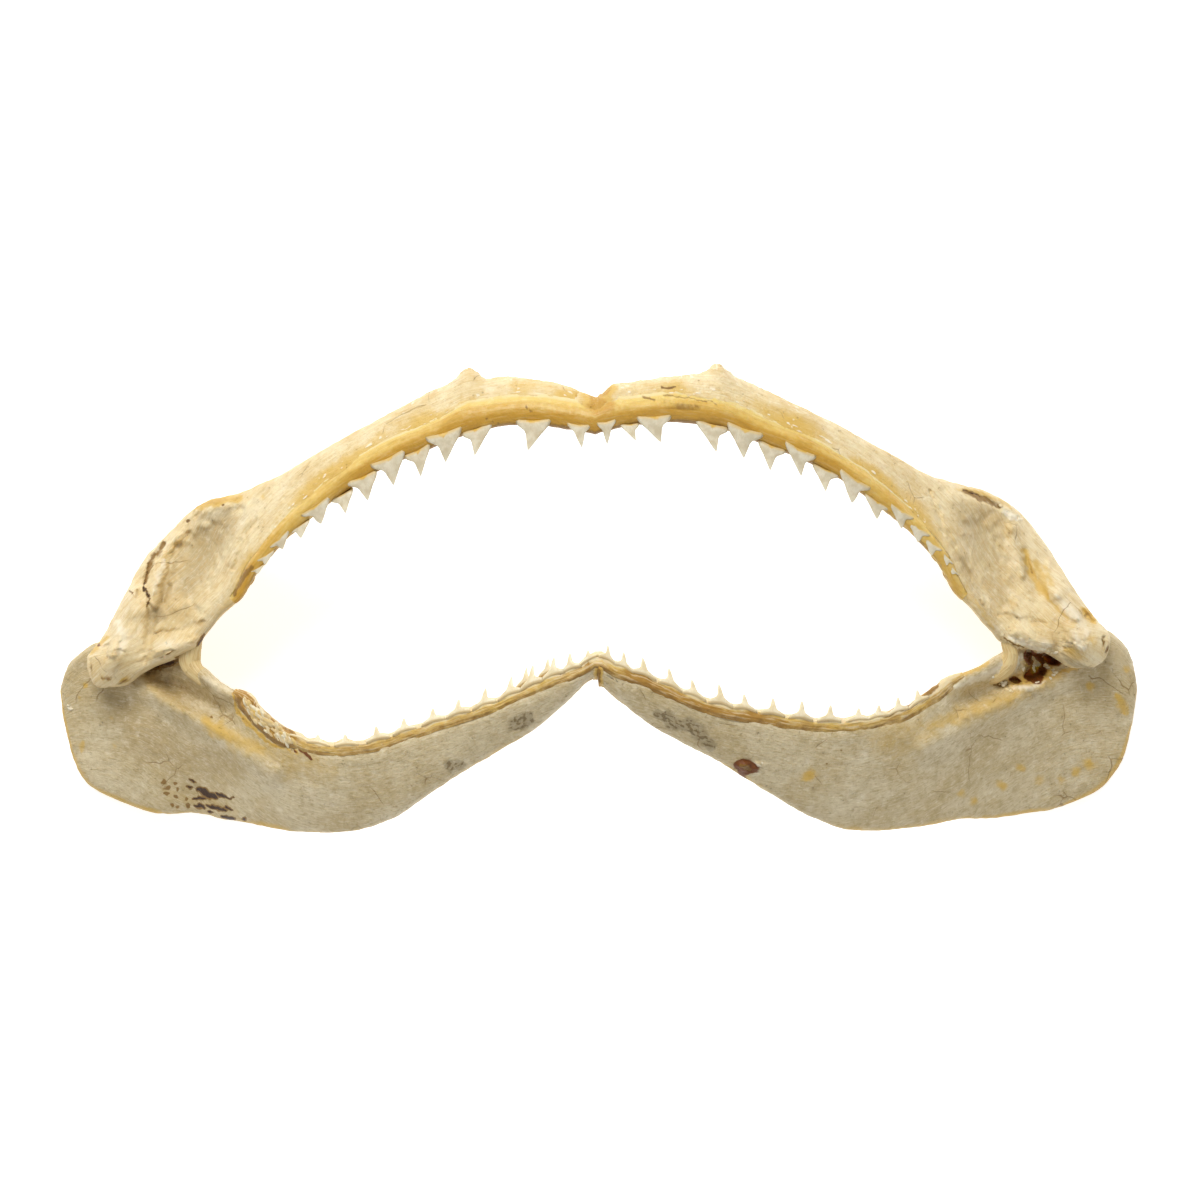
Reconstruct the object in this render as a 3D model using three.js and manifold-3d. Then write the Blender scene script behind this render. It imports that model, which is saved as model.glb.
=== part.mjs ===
// Dried jaws of a small requiem shark, gaping and spread flat, lying on their back on a table.
// The four jaw cartilages, the dried gum bands with the teeth that stand in them, the ligaments
// of the two symphyses and those of the two jaw joints are separate closed solids.
//
// Frame, in millimetres: +X towards the animal's left, which is the right of someone who looks
// into the mouth; +Y dorsal, from the lower jaw to the upper jaw; +Z forward, up from the table.
// The table is z = 0 and the midline of the jaws is x = 0.

import * as THREE from "three";
import { mergeVertices } from "three/addons/utils/BufferGeometryUtils.js";
import Module from "manifold-3d";

const wasm = await Module();
wasm.setup();

// Clearances, and how finely the surfaces are divided.
const GAP = 0.35; // between pieces that touch
const MIDLINE = 1; // half the width of the cleft between a left and a right side
const LIGAMENT_HALF = MIDLINE - GAP; // half the width of the ligament in the cleft
const WELD = 1e-3; // points closer than this become one
const STATIONS = 40; // steps along a cartilage
const ACROSS = 6; // steps over the middle of a cartilage, between its rounded margins
const GUM_STATIONS = 30; // steps along a gum band

// Outlines, for either side: a point on the toothed margin, then the point across from it on the
// outer margin, from the symphysis to the joint. The first number counts from the midline.
const LOWER_OUTLINE = [
  [MIDLINE, -17.3, 86, MIDLINE, -25.4, 83],
  [7.5, -20.7, 84.5, 7.2, -30, 81.5],
  [15.7, -23.8, 82, 16.6, -37.5, 77],
  [32.6, -31, 76.5, 34.5, -48.2, 69.5],
  [52.6, -36.6, 67.5, 52, -59.3, 61],
  [69.7, -40.4, 59.5, 65.2, -67.4, 52],
  [83.2, -40.8, 53, 79, -72, 43.5],
  [95.2, -37.9, 46.5, 95.7, -72.1, 34],
  [104.1, -32.4, 42, 112.5, -70, 24],
  [109.3, -27.8, 38.5, 128.3, -68.6, 14],
  [117.7, -24, 32, 144.8, -67.6, 5.5],
  [125.2, -19.2, 25, 159.7, -60.8, 1.3],
  [139.2, -14.2, 13, 167.8, -51.8, 1.3],
  [157.6, -11.7, 6.5, 171.2, -40.2, 1.3],
  [168.1, -17.3, 4, 172.6, -31.2, 1.3],
  [171.2, -21.8, 3, 172.8, -27.4, 1.3],
];
const UPPER_OUTLINE = [
  [MIDLINE, 51.7, 60, MIDLINE, 61.1, 55.5],
  [9.2, 53.4, 59.5, 8.9, 65.5, 53.5],
  [19.9, 54.7, 58, 19.2, 67.8, 51.5],
  [31.9, 54, 56, 29.6, 69, 49],
  [41.5, 51.8, 54, 40.7, 68.4, 46.5],
  [52.4, 47.4, 51.5, 51.7, 64.7, 43],
  [64.1, 42.9, 49, 64.5, 58.6, 40.5],
  [75.8, 36.7, 46, 78.4, 51.6, 36],
  [87.2, 28.7, 42.5, 93.3, 43.7, 29.5],
  [98.1, 19.8, 39, 108.2, 35.8, 20],
  [106.6, 10.1, 36.5, 123.8, 32.5, 9.5],
  [111.8, 1.2, 34, 135.7, 25.5, 0.5],
  [117.6, -4.4, 32, 145.2, 14.8, 0.5],
  [123, -10.7, 29.5, 152.2, 2.4, 7],
  [127.4, -15, 27, 158.3, -8, 12],
  [141.2, -19.6, 21.5, 162.4, -15.1, 15.5],
  [148, -23.9, 19.5, 160.6, -21.5, 17.5],
  [151.5, -24.8, 19, 157, -23.6, 18],
];

// The left side stands a little higher than the right one. Half of the difference: its growth
// along the jaw, to so much at a distance from the midline, and a hump of the lower toothed margin.
const UPPER_LIFT = { start: 0.4, growth: 3.2, power: 3, at: 165 };
const LOWER_LIFT = { start: 0, growth: 1.2, power: 2, at: 150, hump: 3.7, humpAt: 88, humpReach: 36 };
const LOWER_OUTER_LIFT = 0.3;

// Half thickness of a cartilage at its toothed margin and at its outer margin, at even steps from
// the symphysis to the joint, and how far its middle bows out towards the front.
const LOWER_FORM = { toothed: [3.8, 4.6, 4.6, 3.6, 2.8], outer: [2.8, 2.4, 2.2, 2.4, 2.4], bow: 1.2 };
const UPPER_FORM = { toothed: [4.8, 5.4, 4.8, 3, 3.4], outer: [3.6, 3.8, 3.2, 3, 3.6], bow: 0.8 };
const THINNEST = 0.8; // least half thickness over a hollow

// Relief on the front of a cartilage: a line on its face, the height there, negative for a hollow,
// and its reach to either side.
const LOWER_RELIEF = [
  { line: [[148, -26], [134, -32], [124, -37], [112, -44], [101, -50]], height: 3, reach: 3.4 },
  { line: [[142, -21.5], [131, -26.5], [116, -32]], height: -3, reach: 3.8 },
  { line: [[126, -21.5], [114, -27]], height: 1, reach: 2.6 },
  { line: [[158, -45], [125, -58]], height: -0.8, reach: 11 },
];
const UPPER_RELIEF = [
  { line: [[133, 20], [139, 9.5], [144, 0]], height: 2.4, reach: 3 },
  { line: [[145, -2], [149, -10], [153.5, -17]], height: 4.2, reach: 5 },
  { line: [[112, 31], [125, 28], [133, 22]], height: 1.5, reach: 2.6 },
  { line: [[133, -11.5], [139, -15.5]], height: 2.2, reach: 3.6 },
  { line: [[120, 18], [127, 5], [136, -5]], height: -1.6, reach: 7.5 },
];

// The orbital process, a low peak on the outer margin of each upper cartilage.
const ORBITAL_PROCESS = { height: 2.8, reach: 3.4, right: -42.2, left: 38.8 };

// Gum bands: their reach over the front and over the back of the cartilage, their thickness on
// either face, how far the rim stands past the margin, and where they end along the cartilage.
const UPPER_GUM = { front: 8, back: 11, onFront: 0.9, onBack: 1.3, rim: 1.2, end: 0.665 };
const LOWER_GUM = { front: 2.4, back: 10, onFront: 1.3, onBack: 1.4, rim: 1.2, end: 0.635 };

// Where the teeth stand, counted from the midline. Then, at even steps up to the last tooth: their
// widths, and as shares of the width how far the tip reaches past the margin and how far it leans
// away from the midline.
const UPPER_TEETH = {
  right: [6, 20, 37.3, 47.3, 55.4, 64.6, 72.9, 79.8, 87.4, 92.8, 98.7, 103.1, 106.3, 108.6],
  left: [4.5, 9.9, 17.4, 34.6, 45, 53.6, 62, 70, 78.6, 86, 93.2, 99, 103.5, 107.5, 110.2, 112],
  widths: [6.2, 10.6, 11.2, 11.2, 10.8, 8.4, 3.8],
  reach: [0.8, 0.76, 0.74, 0.72, 0.66, 0.46, 0.36],
  lean: [-0.04, 0.14, 0.17, 0.16, 0.14, 0.12, 0.1],
};
const LOWER_TEETH = {
  right: [9.1, 14, 20.2, 27.4, 35.8, 43.6, 52.2, 61.2, 70.4, 80, 88.2, 94.3, 99, 103],
  left: [4.3, 9, 14.4, 22.3, 29.8, 38.1, 46.4, 55.8, 64.6, 73.9, 83, 90.2, 95.8, 100.6],
  widths: [5.6, 7.6, 8.4, 8.6, 8.4, 7.2, 5.2],
  reach: [0.84, 0.7, 0.6, 0.53, 0.48, 0.45, 0.44],
  lean: [0, 0.03, 0.05, 0.05, 0.05, 0.04, 0.04],
};

// Crown shapes: thickness and half width of the cusp as shares of the width, the heights of the
// inner corner, the outer heel and the waist of the cusp as shares of the crown, where the crown is
// seated, in from the margin, and how far its tip turns forward. Every tooth differs a little.
const UPPER_CROWN = { thick: 0.3, cusp: 0.24, corner: 0.1, heel: 0.17, waist: 0.42, seat: 1.2, forward: 3.2 };
const LOWER_CROWN = { thick: 0.34, cusp: 0.12, corner: 0.14, heel: 0.16, waist: 0.38, seat: 1, forward: 1.4 };
const ROOT_DEPTH = 2;
const TOOTH_VARIATION = { reach: 0.08, lean: 0.06 };

// Ligament of the jaw joint: its middle on either side, and its half sizes.
const JOINT_LIGAMENT = {
  right: [-129.2, -18.4, 25.4],
  left: [129.2, -15, 25.4],
  half: [4.2, 7.2, 4.6],
  turn: 0.35,
};
const LIGAMENT_PROUD = 1; // how far a symphysis ligament stands out past the cartilages

const FLOOR_BLOCK = [420, 260, 30];

const COLOURS = {
  cartilage: { color: 0xcfb98a, roughness: 0.62, metalness: 0 },
  gum: { color: 0xc99c45, roughness: 0.45, metalness: 0 },
  ligament: { color: 0xa9772c, roughness: 0.5, metalness: 0 },
};

// A value read from numbers at even steps, by straight lines between them.
function along(values, share) {
  const at = Math.min(Math.max(share, 0), 1) * (values.length - 1);
  const low = Math.min(Math.floor(at), values.length - 2);
  return values[low] + (values[low + 1] - values[low]) * (at - low);
}

// Height of a rounded edge of radius 1, at a distance in from where it starts.
function roundEdge(distance) {
  const inward = Math.min(Math.max(distance, 0), 1);
  return Math.sqrt(1 - (1 - inward) ** 2);
}

function bell(distance, reach) {
  return Math.exp(-((distance / reach) ** 2));
}

// A repeatable number between -1 and 1 for each seed.
function variation(seed) {
  const wave = Math.sin(seed * 12.9898) * 43758.5453;
  return 2 * (wave - Math.floor(wave)) - 1;
}

function liftAt(lift, x) {
  const hump = lift.hump ? lift.hump * bell(x - lift.humpAt, lift.humpReach) : 0;
  return lift.start + lift.growth * (x / lift.at) ** lift.power + hump;
}

// A point of the outline or of a relief line, moved to its side of the jaws.
function toSide(side, x, y, lift) {
  return side === "left" ? [x, y + lift] : [-x, y - lift];
}

function distanceToLine(x, y, line) {
  let nearest = Infinity;
  for (let i = 0; i + 1 < line.length; i++) {
    const [ax, ay] = line[i];
    const [dx, dy] = [line[i + 1][0] - ax, line[i + 1][1] - ay];
    const share = Math.min(Math.max(((x - ax) * dx + (y - ay) * dy) / (dx * dx + dy * dy), 0), 1);
    nearest = Math.min(nearest, Math.hypot(x - ax - share * dx, y - ay - share * dy));
  }
  return nearest;
}

// One cartilage as a plate: its two margins as curves, and its middle surface and thickness
// between them.
class Plate {
  constructor({ side, outline, lift, outerLift, form, relief, rim, rimEnd, process }) {
    const margin = (start, liftOf) =>
      new THREE.CatmullRomCurve3(
        outline.map((row) => {
          const [x, y, z] = row.slice(start, start + 3);
          return new THREE.Vector3(...toSide(side, x, y, liftOf(x)), z);
        }),
        false,
        "catmullrom",
      );
    this.toothed = margin(0, lift);
    this.outer = margin(3, outerLift);
    this.relief = relief.map((entry) => ({
      ...entry,
      line: entry.line.map(([x, y]) => toSide(side, x, y, lift(x))),
    }));
    this.form = form;
    this.rim = rim;
    this.rimEnd = rimEnd;
    this.process = process;
    this.endLength = this.middle(1).distanceTo(this.middle(0.94)) / 0.06;
    this.measure();
  }

  middle(t) {
    return this.toothed.getPoint(t).add(this.outer.getPoint(t)).multiplyScalar(0.5);
  }

  // Lengths along the middle, so that stations can be spaced evenly.
  measure() {
    this.lengths = [0];
    const fine = 400;
    for (let i = 1; i <= fine; i++) {
      const step = this.middle(i / fine).distanceTo(this.middle((i - 1) / fine));
      this.lengths.push(this.lengths[i - 1] + step);
    }
  }

  // The curve parameter at a share of the way along the middle.
  parameter(share) {
    const fine = this.lengths.length - 1;
    const wanted = share * this.lengths[fine];
    const next = Math.max(this.lengths.findIndex((length) => length >= wanted), 1);
    const [low, high] = [this.lengths[next - 1], this.lengths[next]];
    return (next - 1 + (wanted - low) / (high - low)) / fine;
  }

  // One cut across the cartilage. Where the gum lies, the margin stands back to leave it room.
  section(t) {
    const a = this.toothed.getPoint(t);
    const b = this.outer.getPoint(t);
    if (this.process) b.y += this.process.height * bell(b.x - this.process.x, this.process.reach);
    const direction = b.clone().sub(a).normalize();
    a.addScaledVector(direction, this.rim * roundEdge((this.rimEnd - t) * 12));
    const length = a.distanceTo(b);
    const limit = 0.45 * length;
    return {
      t,
      a,
      length,
      direction,
      toothedHalf: Math.min(along(this.form.toothed, t), limit),
      outerHalf: Math.min(along(this.form.outer, t), limit),
      endRound: roundEdge(((1 - t) * this.endLength) / along(this.form.outer, 1)),
    };
  }

  reliefAt(x, y) {
    const height = (entry) => entry.height * bell(distanceToLine(x, y, entry.line), entry.reach);
    return this.relief.reduce((sum, entry) => sum + height(entry), 0);
  }

  // The middle surface at a distance in from the toothed margin, and the half thickness there
  // to the front and to the back.
  at(section, distance) {
    const share = Math.min(Math.max(distance / section.length, 0), 1);
    const point = section.a.clone().addScaledVector(section.direction, distance);
    point.z += this.form.bow * 4 * share * (1 - share) * section.endRound;
    const flat = section.toothedHalf + (section.outerHalf - section.toothedHalf) * share;
    const toothedRound = roundEdge(distance / section.toothedHalf);
    const outerRound = roundEdge((section.length - distance) / section.outerHalf);
    const round = toothedRound * outerRound * section.endRound;
    const front = round * Math.max(flat + this.reliefAt(point.x, point.y), THINNEST);
    return { point, front, back: round * flat };
  }

  // Distances in from the toothed margin: close together on the rounded margins, even between.
  steps({ toothedHalf, outerHalf, length }) {
    const nearEdge = 0.25;
    const between = length - toothedHalf - outerHalf;
    const steps = [0, nearEdge * toothedHalf];
    for (let i = 0; i <= ACROSS; i++) steps.push(toothedHalf + (between * i) / ACROSS);
    return [...steps, length - nearEdge * outerHalf, length];
  }

  // The points round a section, up its front and back down behind it.
  ring(section, grow = 0) {
    const front = [];
    const back = [];
    for (const distance of this.steps(section)) {
      const { point, front: up, back: down } = this.at(section, distance);
      point.addScaledVector(section.direction, grow * ((2 * distance) / section.length - 1));
      front.push([point.x, point.y, point.z + up + grow]);
      back.push([point.x, point.y, point.z - down - grow]);
    }
    return [...front, ...back.reverse()];
  }

  // The closed solid. With a first ring on the midline it is the room that other pieces leave it.
  solid(fromMidline = false) {
    const rings = [];
    for (let i = 0; i <= STATIONS; i++) {
      rings.push(this.ring(this.section(this.parameter(i / STATIONS))));
    }
    if (fromMidline) rings.unshift(rings[0].map(([, y, z]) => [0, y, z]));
    return loft(rings);
  }
}

// A closed solid through rings with the same number of points, capped flat at both ends.
function loft(rings) {
  const count = rings[0].length;
  const faces = [];
  for (let i = 0; i + 1 < rings.length; i++) {
    for (let j = 0; j < count; j++) {
      const [a, b] = [i * count + j, i * count + ((j + 1) % count)];
      faces.push([a, b, b + count], [a, b + count, a + count]);
    }
  }
  const last = (rings.length - 1) * count;
  for (const [a, b, c] of capFaces(count)) {
    faces.push([c, b, a], [last + a, last + b, last + c]);
  }
  return solidOfPoints(rings.flat(), faces);
}

// A strip of triangles over a ring, from its first and last points inwards.
function capFaces(count) {
  const faces = [];
  let [low, high] = [0, count - 1];
  while (high - low > 1) {
    const fromLow = (low + high) % 2 === (count - 1) % 2;
    faces.push(fromLow ? [low, low + 1, high] : [low, high - 1, high]);
    if (fromLow) low += 1;
    else high -= 1;
  }
  return faces;
}

function solidOfPoints(positions, faces) {
  const geometry = new THREE.BufferGeometry();
  geometry.setAttribute("position", new THREE.Float32BufferAttribute(positions.flat(), 3));
  geometry.setIndex(faces.flat());
  return solidOf(geometry);
}

// A three.js geometry as a solid with its faces turned outwards.
function solidOf(geometry) {
  geometry.deleteAttribute("normal");
  geometry.deleteAttribute("uv");
  const merged = mergeVertices(geometry, WELD);
  const points = merged.attributes.position.array;
  const kept = [];
  for (let i = 0; i < merged.index.array.length; i += 3) {
    const face = merged.index.array.slice(i, i + 3);
    if (new Set(face).size === 3) kept.push(...face);
  }
  let volume = 0;
  for (let i = 0; i < kept.length; i += 3) {
    const [a, b, c] = [0, 1, 2].map((k) => new THREE.Vector3().fromArray(points, kept[i + k] * 3));
    volume += a.dot(b.cross(c));
  }
  if (volume < 0) kept.reverse();
  const triVerts = new Uint32Array(kept);
  return new wasm.Manifold(new wasm.Mesh({ numProp: 3, vertProperties: points, triVerts }));
}

function geometryOf(solid) {
  const mesh = solid.getMesh();
  const positions = new Float32Array(mesh.numVert * 3);
  for (let i = 0; i < mesh.numVert; i++) {
    const start = i * mesh.numProp;
    positions.set(mesh.vertProperties.subarray(start, start + 3), i * 3);
  }
  const geometry = new THREE.BufferGeometry();
  geometry.setAttribute("position", new THREE.BufferAttribute(positions, 3));
  geometry.setIndex(new THREE.BufferAttribute(new Uint32Array(mesh.triVerts), 1));
  geometry.computeVertexNormals();
  return geometry;
}

// A solid with every point moved out along its normal.
function grown(solid, distance) {
  const geometry = geometryOf(solid);
  const { position, normal } = geometry.attributes;
  for (let i = 0; i < position.count; i++) {
    const point = new THREE.Vector3().fromBufferAttribute(position, i);
    point.addScaledVector(new THREE.Vector3().fromBufferAttribute(normal, i), distance);
    position.setXYZ(i, point.x, point.y, point.z);
  }
  return solidOf(geometry);
}

function largestPiece(solid) {
  return solid.decompose().reduce((best, piece) => (piece.volume() > best.volume() ? piece : best));
}

// What is left of a solid once others are cut from it: its largest closed surface.
function cutBy(solid, others) {
  const cut = others.reduce((left, other) => left.subtract(other), solid);
  return largestPiece(solidOf(geometryOf(largestPiece(cut))));
}

// The gum band round the toothed margin, with its teeth fused on and the cartilage cut out of it.
function gumWithTeeth(plate, side, gum, teeth, crown, cartilage) {
  const rings = [];
  for (let i = 0; i <= GUM_STATIONS; i++) {
    const section = plate.section(plate.parameter((i / GUM_STATIONS) * gum.end));
    rings.push(gumRing(plate, section, gum, roundEdge((GUM_STATIONS - i + 1) / 4)));
  }
  let band = loft(rings);
  const last = Math.max(...teeth[side]);
  for (const x of teeth[side]) {
    band = band.add(toothSolid(plate, gum, teeth, crown, x, x / last));
  }
  return cutBy(band, [cartilage]);
}

// One section of the band, from its front edge over the rim to its back edge. Both edges sink
// into the cartilage, so that what joins them lies inside it.
function gumRing(plate, section, gum, taper) {
  const ring = [];
  const put = (distance, sink, face, thickness) => {
    const { point, front, back } = plate.at(section, Math.max(distance, 0.02));
    if (distance < 0) point.addScaledVector(section.direction, distance);
    const height = (face > 0 ? front : back) * sink + thickness * taper;
    ring.push([point.x, point.y, point.z + face * height]);
  };
  const sunk = 0.7;
  const front = Math.min(gum.front, section.length - 1.5);
  const back = Math.min(gum.back, section.length - 1.5);
  const shoulder = section.toothedHalf * 0.5;
  put(front, sunk, 1, 0);
  put(front - 0.4, 1, 1, gum.onFront * 0.8);
  put(front * 0.55, 1, 1, gum.onFront);
  put(shoulder, 1, 1, gum.onFront);
  put(-gum.rim * 0.6, 0, 1, shoulder);
  put(-gum.rim, 0, 1, 0);
  put(-gum.rim * 0.6, 0, -1, shoulder);
  put(shoulder, 1, -1, gum.onBack);
  put(back * 0.55, 1, -1, gum.onBack);
  put(back - 0.5, 1, -1, gum.onBack * 0.8);
  put(back, sunk, -1, 0);
  return ring;
}

// The curve parameter where the toothed margin passes a distance from the midline.
function parameterAt(plate, x) {
  let [low, high] = [0, 1];
  for (let i = 0; i < 40; i++) {
    const half = (low + high) / 2;
    if (Math.abs(plate.toothed.getPoint(half).x) < x) low = half;
    else high = half;
  }
  return low;
}

// One tooth at its place on the rim, its outer face to the front and its tip into the mouth.
function toothSolid(plate, gum, teeth, crown, x, share) {
  const width = along(teeth.widths, share);
  const reach = width * along(teeth.reach, share) * (1 + TOOTH_VARIATION.reach * variation(x));
  const lean = width * (along(teeth.lean, share) + TOOTH_VARIATION.lean * variation(x + 1));
  const section = plate.section(parameterAt(plate, x));
  const tangent = plate.toothed.getTangent(section.t);
  const seat = plate.at(section, crown.seat);
  const origin = seat.point.clone();
  origin.z += seat.front * 0.75;
  const up = section.a.clone().addScaledVector(section.direction, -gum.rim - reach);
  up.z += crown.forward;
  up.sub(origin);
  up.addScaledVector(tangent, -up.dot(tangent));
  const height = up.length();
  up.normalize();
  const outward = new THREE.Vector3().crossVectors(tangent, up).normalize();
  if (outward.z < 0) outward.negate();
  const basis = new THREE.Matrix4().makeBasis(tangent, up, outward).setPosition(origin);
  const place = (point) => new THREE.Vector3(...point).applyMatrix4(basis).toArray();
  return loft(toothRings(width, height, lean, crown).map((ring) => ring.map(place)));
}

// Four-sided rings from the root to the tip: inner edge, front, outer edge, back.
function toothRings(width, height, lean, crown) {
  const half = width / 2;
  const thick = (crown.thick * width) / 2;
  const cusp = crown.cusp * width;
  const blunt = 0.03 * width;
  const ring = (inner, innerUp, outer, outerUp, depth) => {
    const [x, y] = [(inner + outer) / 2, (innerUp + outerUp) / 2];
    return [[inner, innerUp, 0], [x, y, depth], [outer, outerUp, 0], [x, y, -depth]];
  };
  const waist = crown.waist * height;
  return [
    ring(-0.8 * half, -ROOT_DEPTH, 0.8 * half, -ROOT_DEPTH, 0.9 * thick),
    ring(-half, crown.corner * height, half, crown.heel * height, thick),
    ring(0.3 * lean - cusp, waist, 0.15 * lean + cusp, 0.9 * waist, 0.8 * thick),
    ring(lean - blunt, height, lean + blunt, height, blunt),
  ];
}

// The ligament in the cleft between two cartilages: their end section, a little fuller.
function symphysisLigament(plate) {
  const ring = plate.ring(plate.section(0), LIGAMENT_PROUD);
  return loft([-LIGAMENT_HALF, LIGAMENT_HALF].map((x) => ring.map(([, y, z]) => [x, y, z])));
}

function jointLigament(side, others) {
  const middle = JOINT_LIGAMENT[side];
  const geometry = new THREE.SphereGeometry(1, 16, 12);
  geometry.scale(...JOINT_LIGAMENT.half);
  geometry.rotateZ(Math.sign(middle[0]) * JOINT_LIGAMENT.turn);
  geometry.translate(...middle);
  return cutBy(solidOf(geometry), others);
}

function floorBlock() {
  const geometry = new THREE.BoxGeometry(...FLOOR_BLOCK);
  geometry.translate(0, 0, -FLOOR_BLOCK[2] / 2);
  return solidOf(geometry);
}

function meshOf(solid, name, finish) {
  const mesh = new THREE.Mesh(geometryOf(solid), new THREE.MeshStandardMaterial(finish));
  mesh.name = name;
  return mesh;
}

function lowerPlate(side) {
  return new Plate({
    side,
    outline: LOWER_OUTLINE,
    lift: (x) => liftAt(LOWER_LIFT, x),
    outerLift: () => LOWER_OUTER_LIFT,
    form: LOWER_FORM,
    relief: LOWER_RELIEF,
    rim: LOWER_GUM.rim,
    rimEnd: LOWER_GUM.end,
  });
}

function upperPlate(side) {
  const lift = (x) => liftAt(UPPER_LIFT, x);
  return new Plate({
    side,
    outline: UPPER_OUTLINE,
    lift,
    outerLift: lift,
    form: UPPER_FORM,
    relief: UPPER_RELIEF,
    rim: UPPER_GUM.rim,
    rimEnd: UPPER_GUM.end,
    process: { ...ORBITAL_PROCESS, x: ORBITAL_PROCESS[side] },
  });
}

const jaws = new THREE.Group();
const add = (name, solid, finish) => jaws.add(meshOf(solid, name, finish));
const floor = floorBlock();

for (const side of ["right", "left"]) {
  const upper = upperPlate(side);
  const lower = lowerPlate(side);
  const upperRoom = grown(upper.solid(true), GAP);
  const lowerRoom = grown(lower.solid(true), GAP);

  add(`upper_jaw_${side}`, cutBy(upper.solid(), [floor]), COLOURS.cartilage);
  add(`lower_jaw_${side}`, cutBy(lower.solid(), [floor, upperRoom]), COLOURS.cartilage);

  const upperGum = gumWithTeeth(upper, side, UPPER_GUM, UPPER_TEETH, UPPER_CROWN, upperRoom);
  add(`upper_gum_and_teeth_${side}`, upperGum, COLOURS.gum);
  const lowerGum = gumWithTeeth(lower, side, LOWER_GUM, LOWER_TEETH, LOWER_CROWN, lowerRoom);
  add(`lower_gum_and_teeth_${side}`, lowerGum, COLOURS.gum);

  add(`jaw_joint_ligament_${side}`, jointLigament(side, [upperRoom, lowerRoom]), COLOURS.ligament);
}

add("upper_symphysis_ligament", symphysisLigament(upperPlate("left")), COLOURS.ligament);
add("lower_symphysis_ligament", symphysisLigament(lowerPlate("left")), COLOURS.ligament);

export default jaws;
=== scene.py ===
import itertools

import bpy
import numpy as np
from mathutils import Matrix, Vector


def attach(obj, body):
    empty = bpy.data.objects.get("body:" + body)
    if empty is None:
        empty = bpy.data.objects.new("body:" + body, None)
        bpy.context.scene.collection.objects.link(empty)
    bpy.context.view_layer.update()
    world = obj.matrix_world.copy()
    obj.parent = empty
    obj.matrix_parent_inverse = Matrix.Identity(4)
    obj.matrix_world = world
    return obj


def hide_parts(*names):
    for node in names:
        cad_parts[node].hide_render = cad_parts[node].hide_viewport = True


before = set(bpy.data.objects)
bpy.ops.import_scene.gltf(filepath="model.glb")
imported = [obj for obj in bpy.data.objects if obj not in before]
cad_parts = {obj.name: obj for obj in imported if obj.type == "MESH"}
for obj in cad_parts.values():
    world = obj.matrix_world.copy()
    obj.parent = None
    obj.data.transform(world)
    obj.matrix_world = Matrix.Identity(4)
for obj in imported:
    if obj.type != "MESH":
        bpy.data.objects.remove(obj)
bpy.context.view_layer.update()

# Looks of the dried jaws of a small requiem shark, lying on their back and seen from above.
# Lengths are in millimetres until a mesh is made, in the frame of the solids: +X to the animal's
# left, +Y from the lower jaw to the upper one, +Z up from the table. t runs along a cartilage from
# the symphysis (0) to the joint (1), and d is the distance in from its toothed margin.

MM = 0.001

# The camera of the photograph: straight above, its height over the table, its focal length in
# pixels of the 1200 pixel frame, and the pixel that shows the origin.
CAMERA_HEIGHT = 1232.5
FOCAL_PIXELS = 3833
IMAGE_SIZE = 1200
ORIGIN_PIXEL = (598.5, 599)

# The solids' outlines: toothed margin, then the point across from it on the outer margin.
MIDLINE = 1
LOWER_OUTLINE = [
    [MIDLINE, -17.3, 86, MIDLINE, -25.4, 83],
    [7.5, -20.7, 84.5, 7.2, -30, 81.5],
    [15.7, -23.8, 82, 16.6, -37.5, 77],
    [32.6, -31, 76.5, 34.5, -48.2, 69.5],
    [52.6, -36.6, 67.5, 52, -59.3, 61],
    [69.7, -40.4, 59.5, 65.2, -67.4, 52],
    [83.2, -40.8, 53, 79, -72, 43.5],
    [95.2, -37.9, 46.5, 95.7, -72.1, 34],
    [104.1, -32.4, 42, 112.5, -70, 24],
    [109.3, -27.8, 38.5, 128.3, -68.6, 14],
    [117.7, -24, 32, 144.8, -67.6, 5.5],
    [125.2, -19.2, 25, 159.7, -60.8, 1.3],
    [139.2, -14.2, 13, 167.8, -51.8, 1.3],
    [157.6, -11.7, 6.5, 171.2, -40.2, 1.3],
    [168.1, -17.3, 4, 172.6, -31.2, 1.3],
    [171.2, -21.8, 3, 172.8, -27.4, 1.3],
]
UPPER_OUTLINE = [
    [MIDLINE, 51.7, 60, MIDLINE, 61.1, 55.5],
    [9.2, 53.4, 59.5, 8.9, 65.5, 53.5],
    [19.9, 54.7, 58, 19.2, 67.8, 51.5],
    [31.9, 54, 56, 29.6, 69, 49],
    [41.5, 51.8, 54, 40.7, 68.4, 46.5],
    [52.4, 47.4, 51.5, 51.7, 64.7, 43],
    [64.1, 42.9, 49, 64.5, 58.6, 40.5],
    [75.8, 36.7, 46, 78.4, 51.6, 36],
    [87.2, 28.7, 42.5, 93.3, 43.7, 29.5],
    [98.1, 19.8, 39, 108.2, 35.8, 20],
    [106.6, 10.1, 36.5, 123.8, 32.5, 9.5],
    [111.8, 1.2, 34, 135.7, 25.5, 0.5],
    [117.6, -4.4, 32, 145.2, 14.8, 0.5],
    [123, -10.7, 29.5, 152.2, 2.4, 7],
    [127.4, -15, 27, 158.3, -8, 12],
    [141.2, -19.6, 21.5, 162.4, -15.1, 15.5],
    [148, -23.9, 19.5, 160.6, -21.5, 17.5],
    [151.5, -24.8, 19, 157, -23.6, 18],
]
UPPER_LIFT = {"start": 0.4, "growth": 3.2, "power": 3, "at": 165}
LOWER_LIFT = {"start": 0, "growth": 1.2, "power": 2, "at": 150,
              "hump": 3.7, "hump_at": 88, "hump_reach": 36}
LOWER_OUTER_LIFT = {"start": 0.3, "growth": 0, "power": 1, "at": 1}
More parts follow.
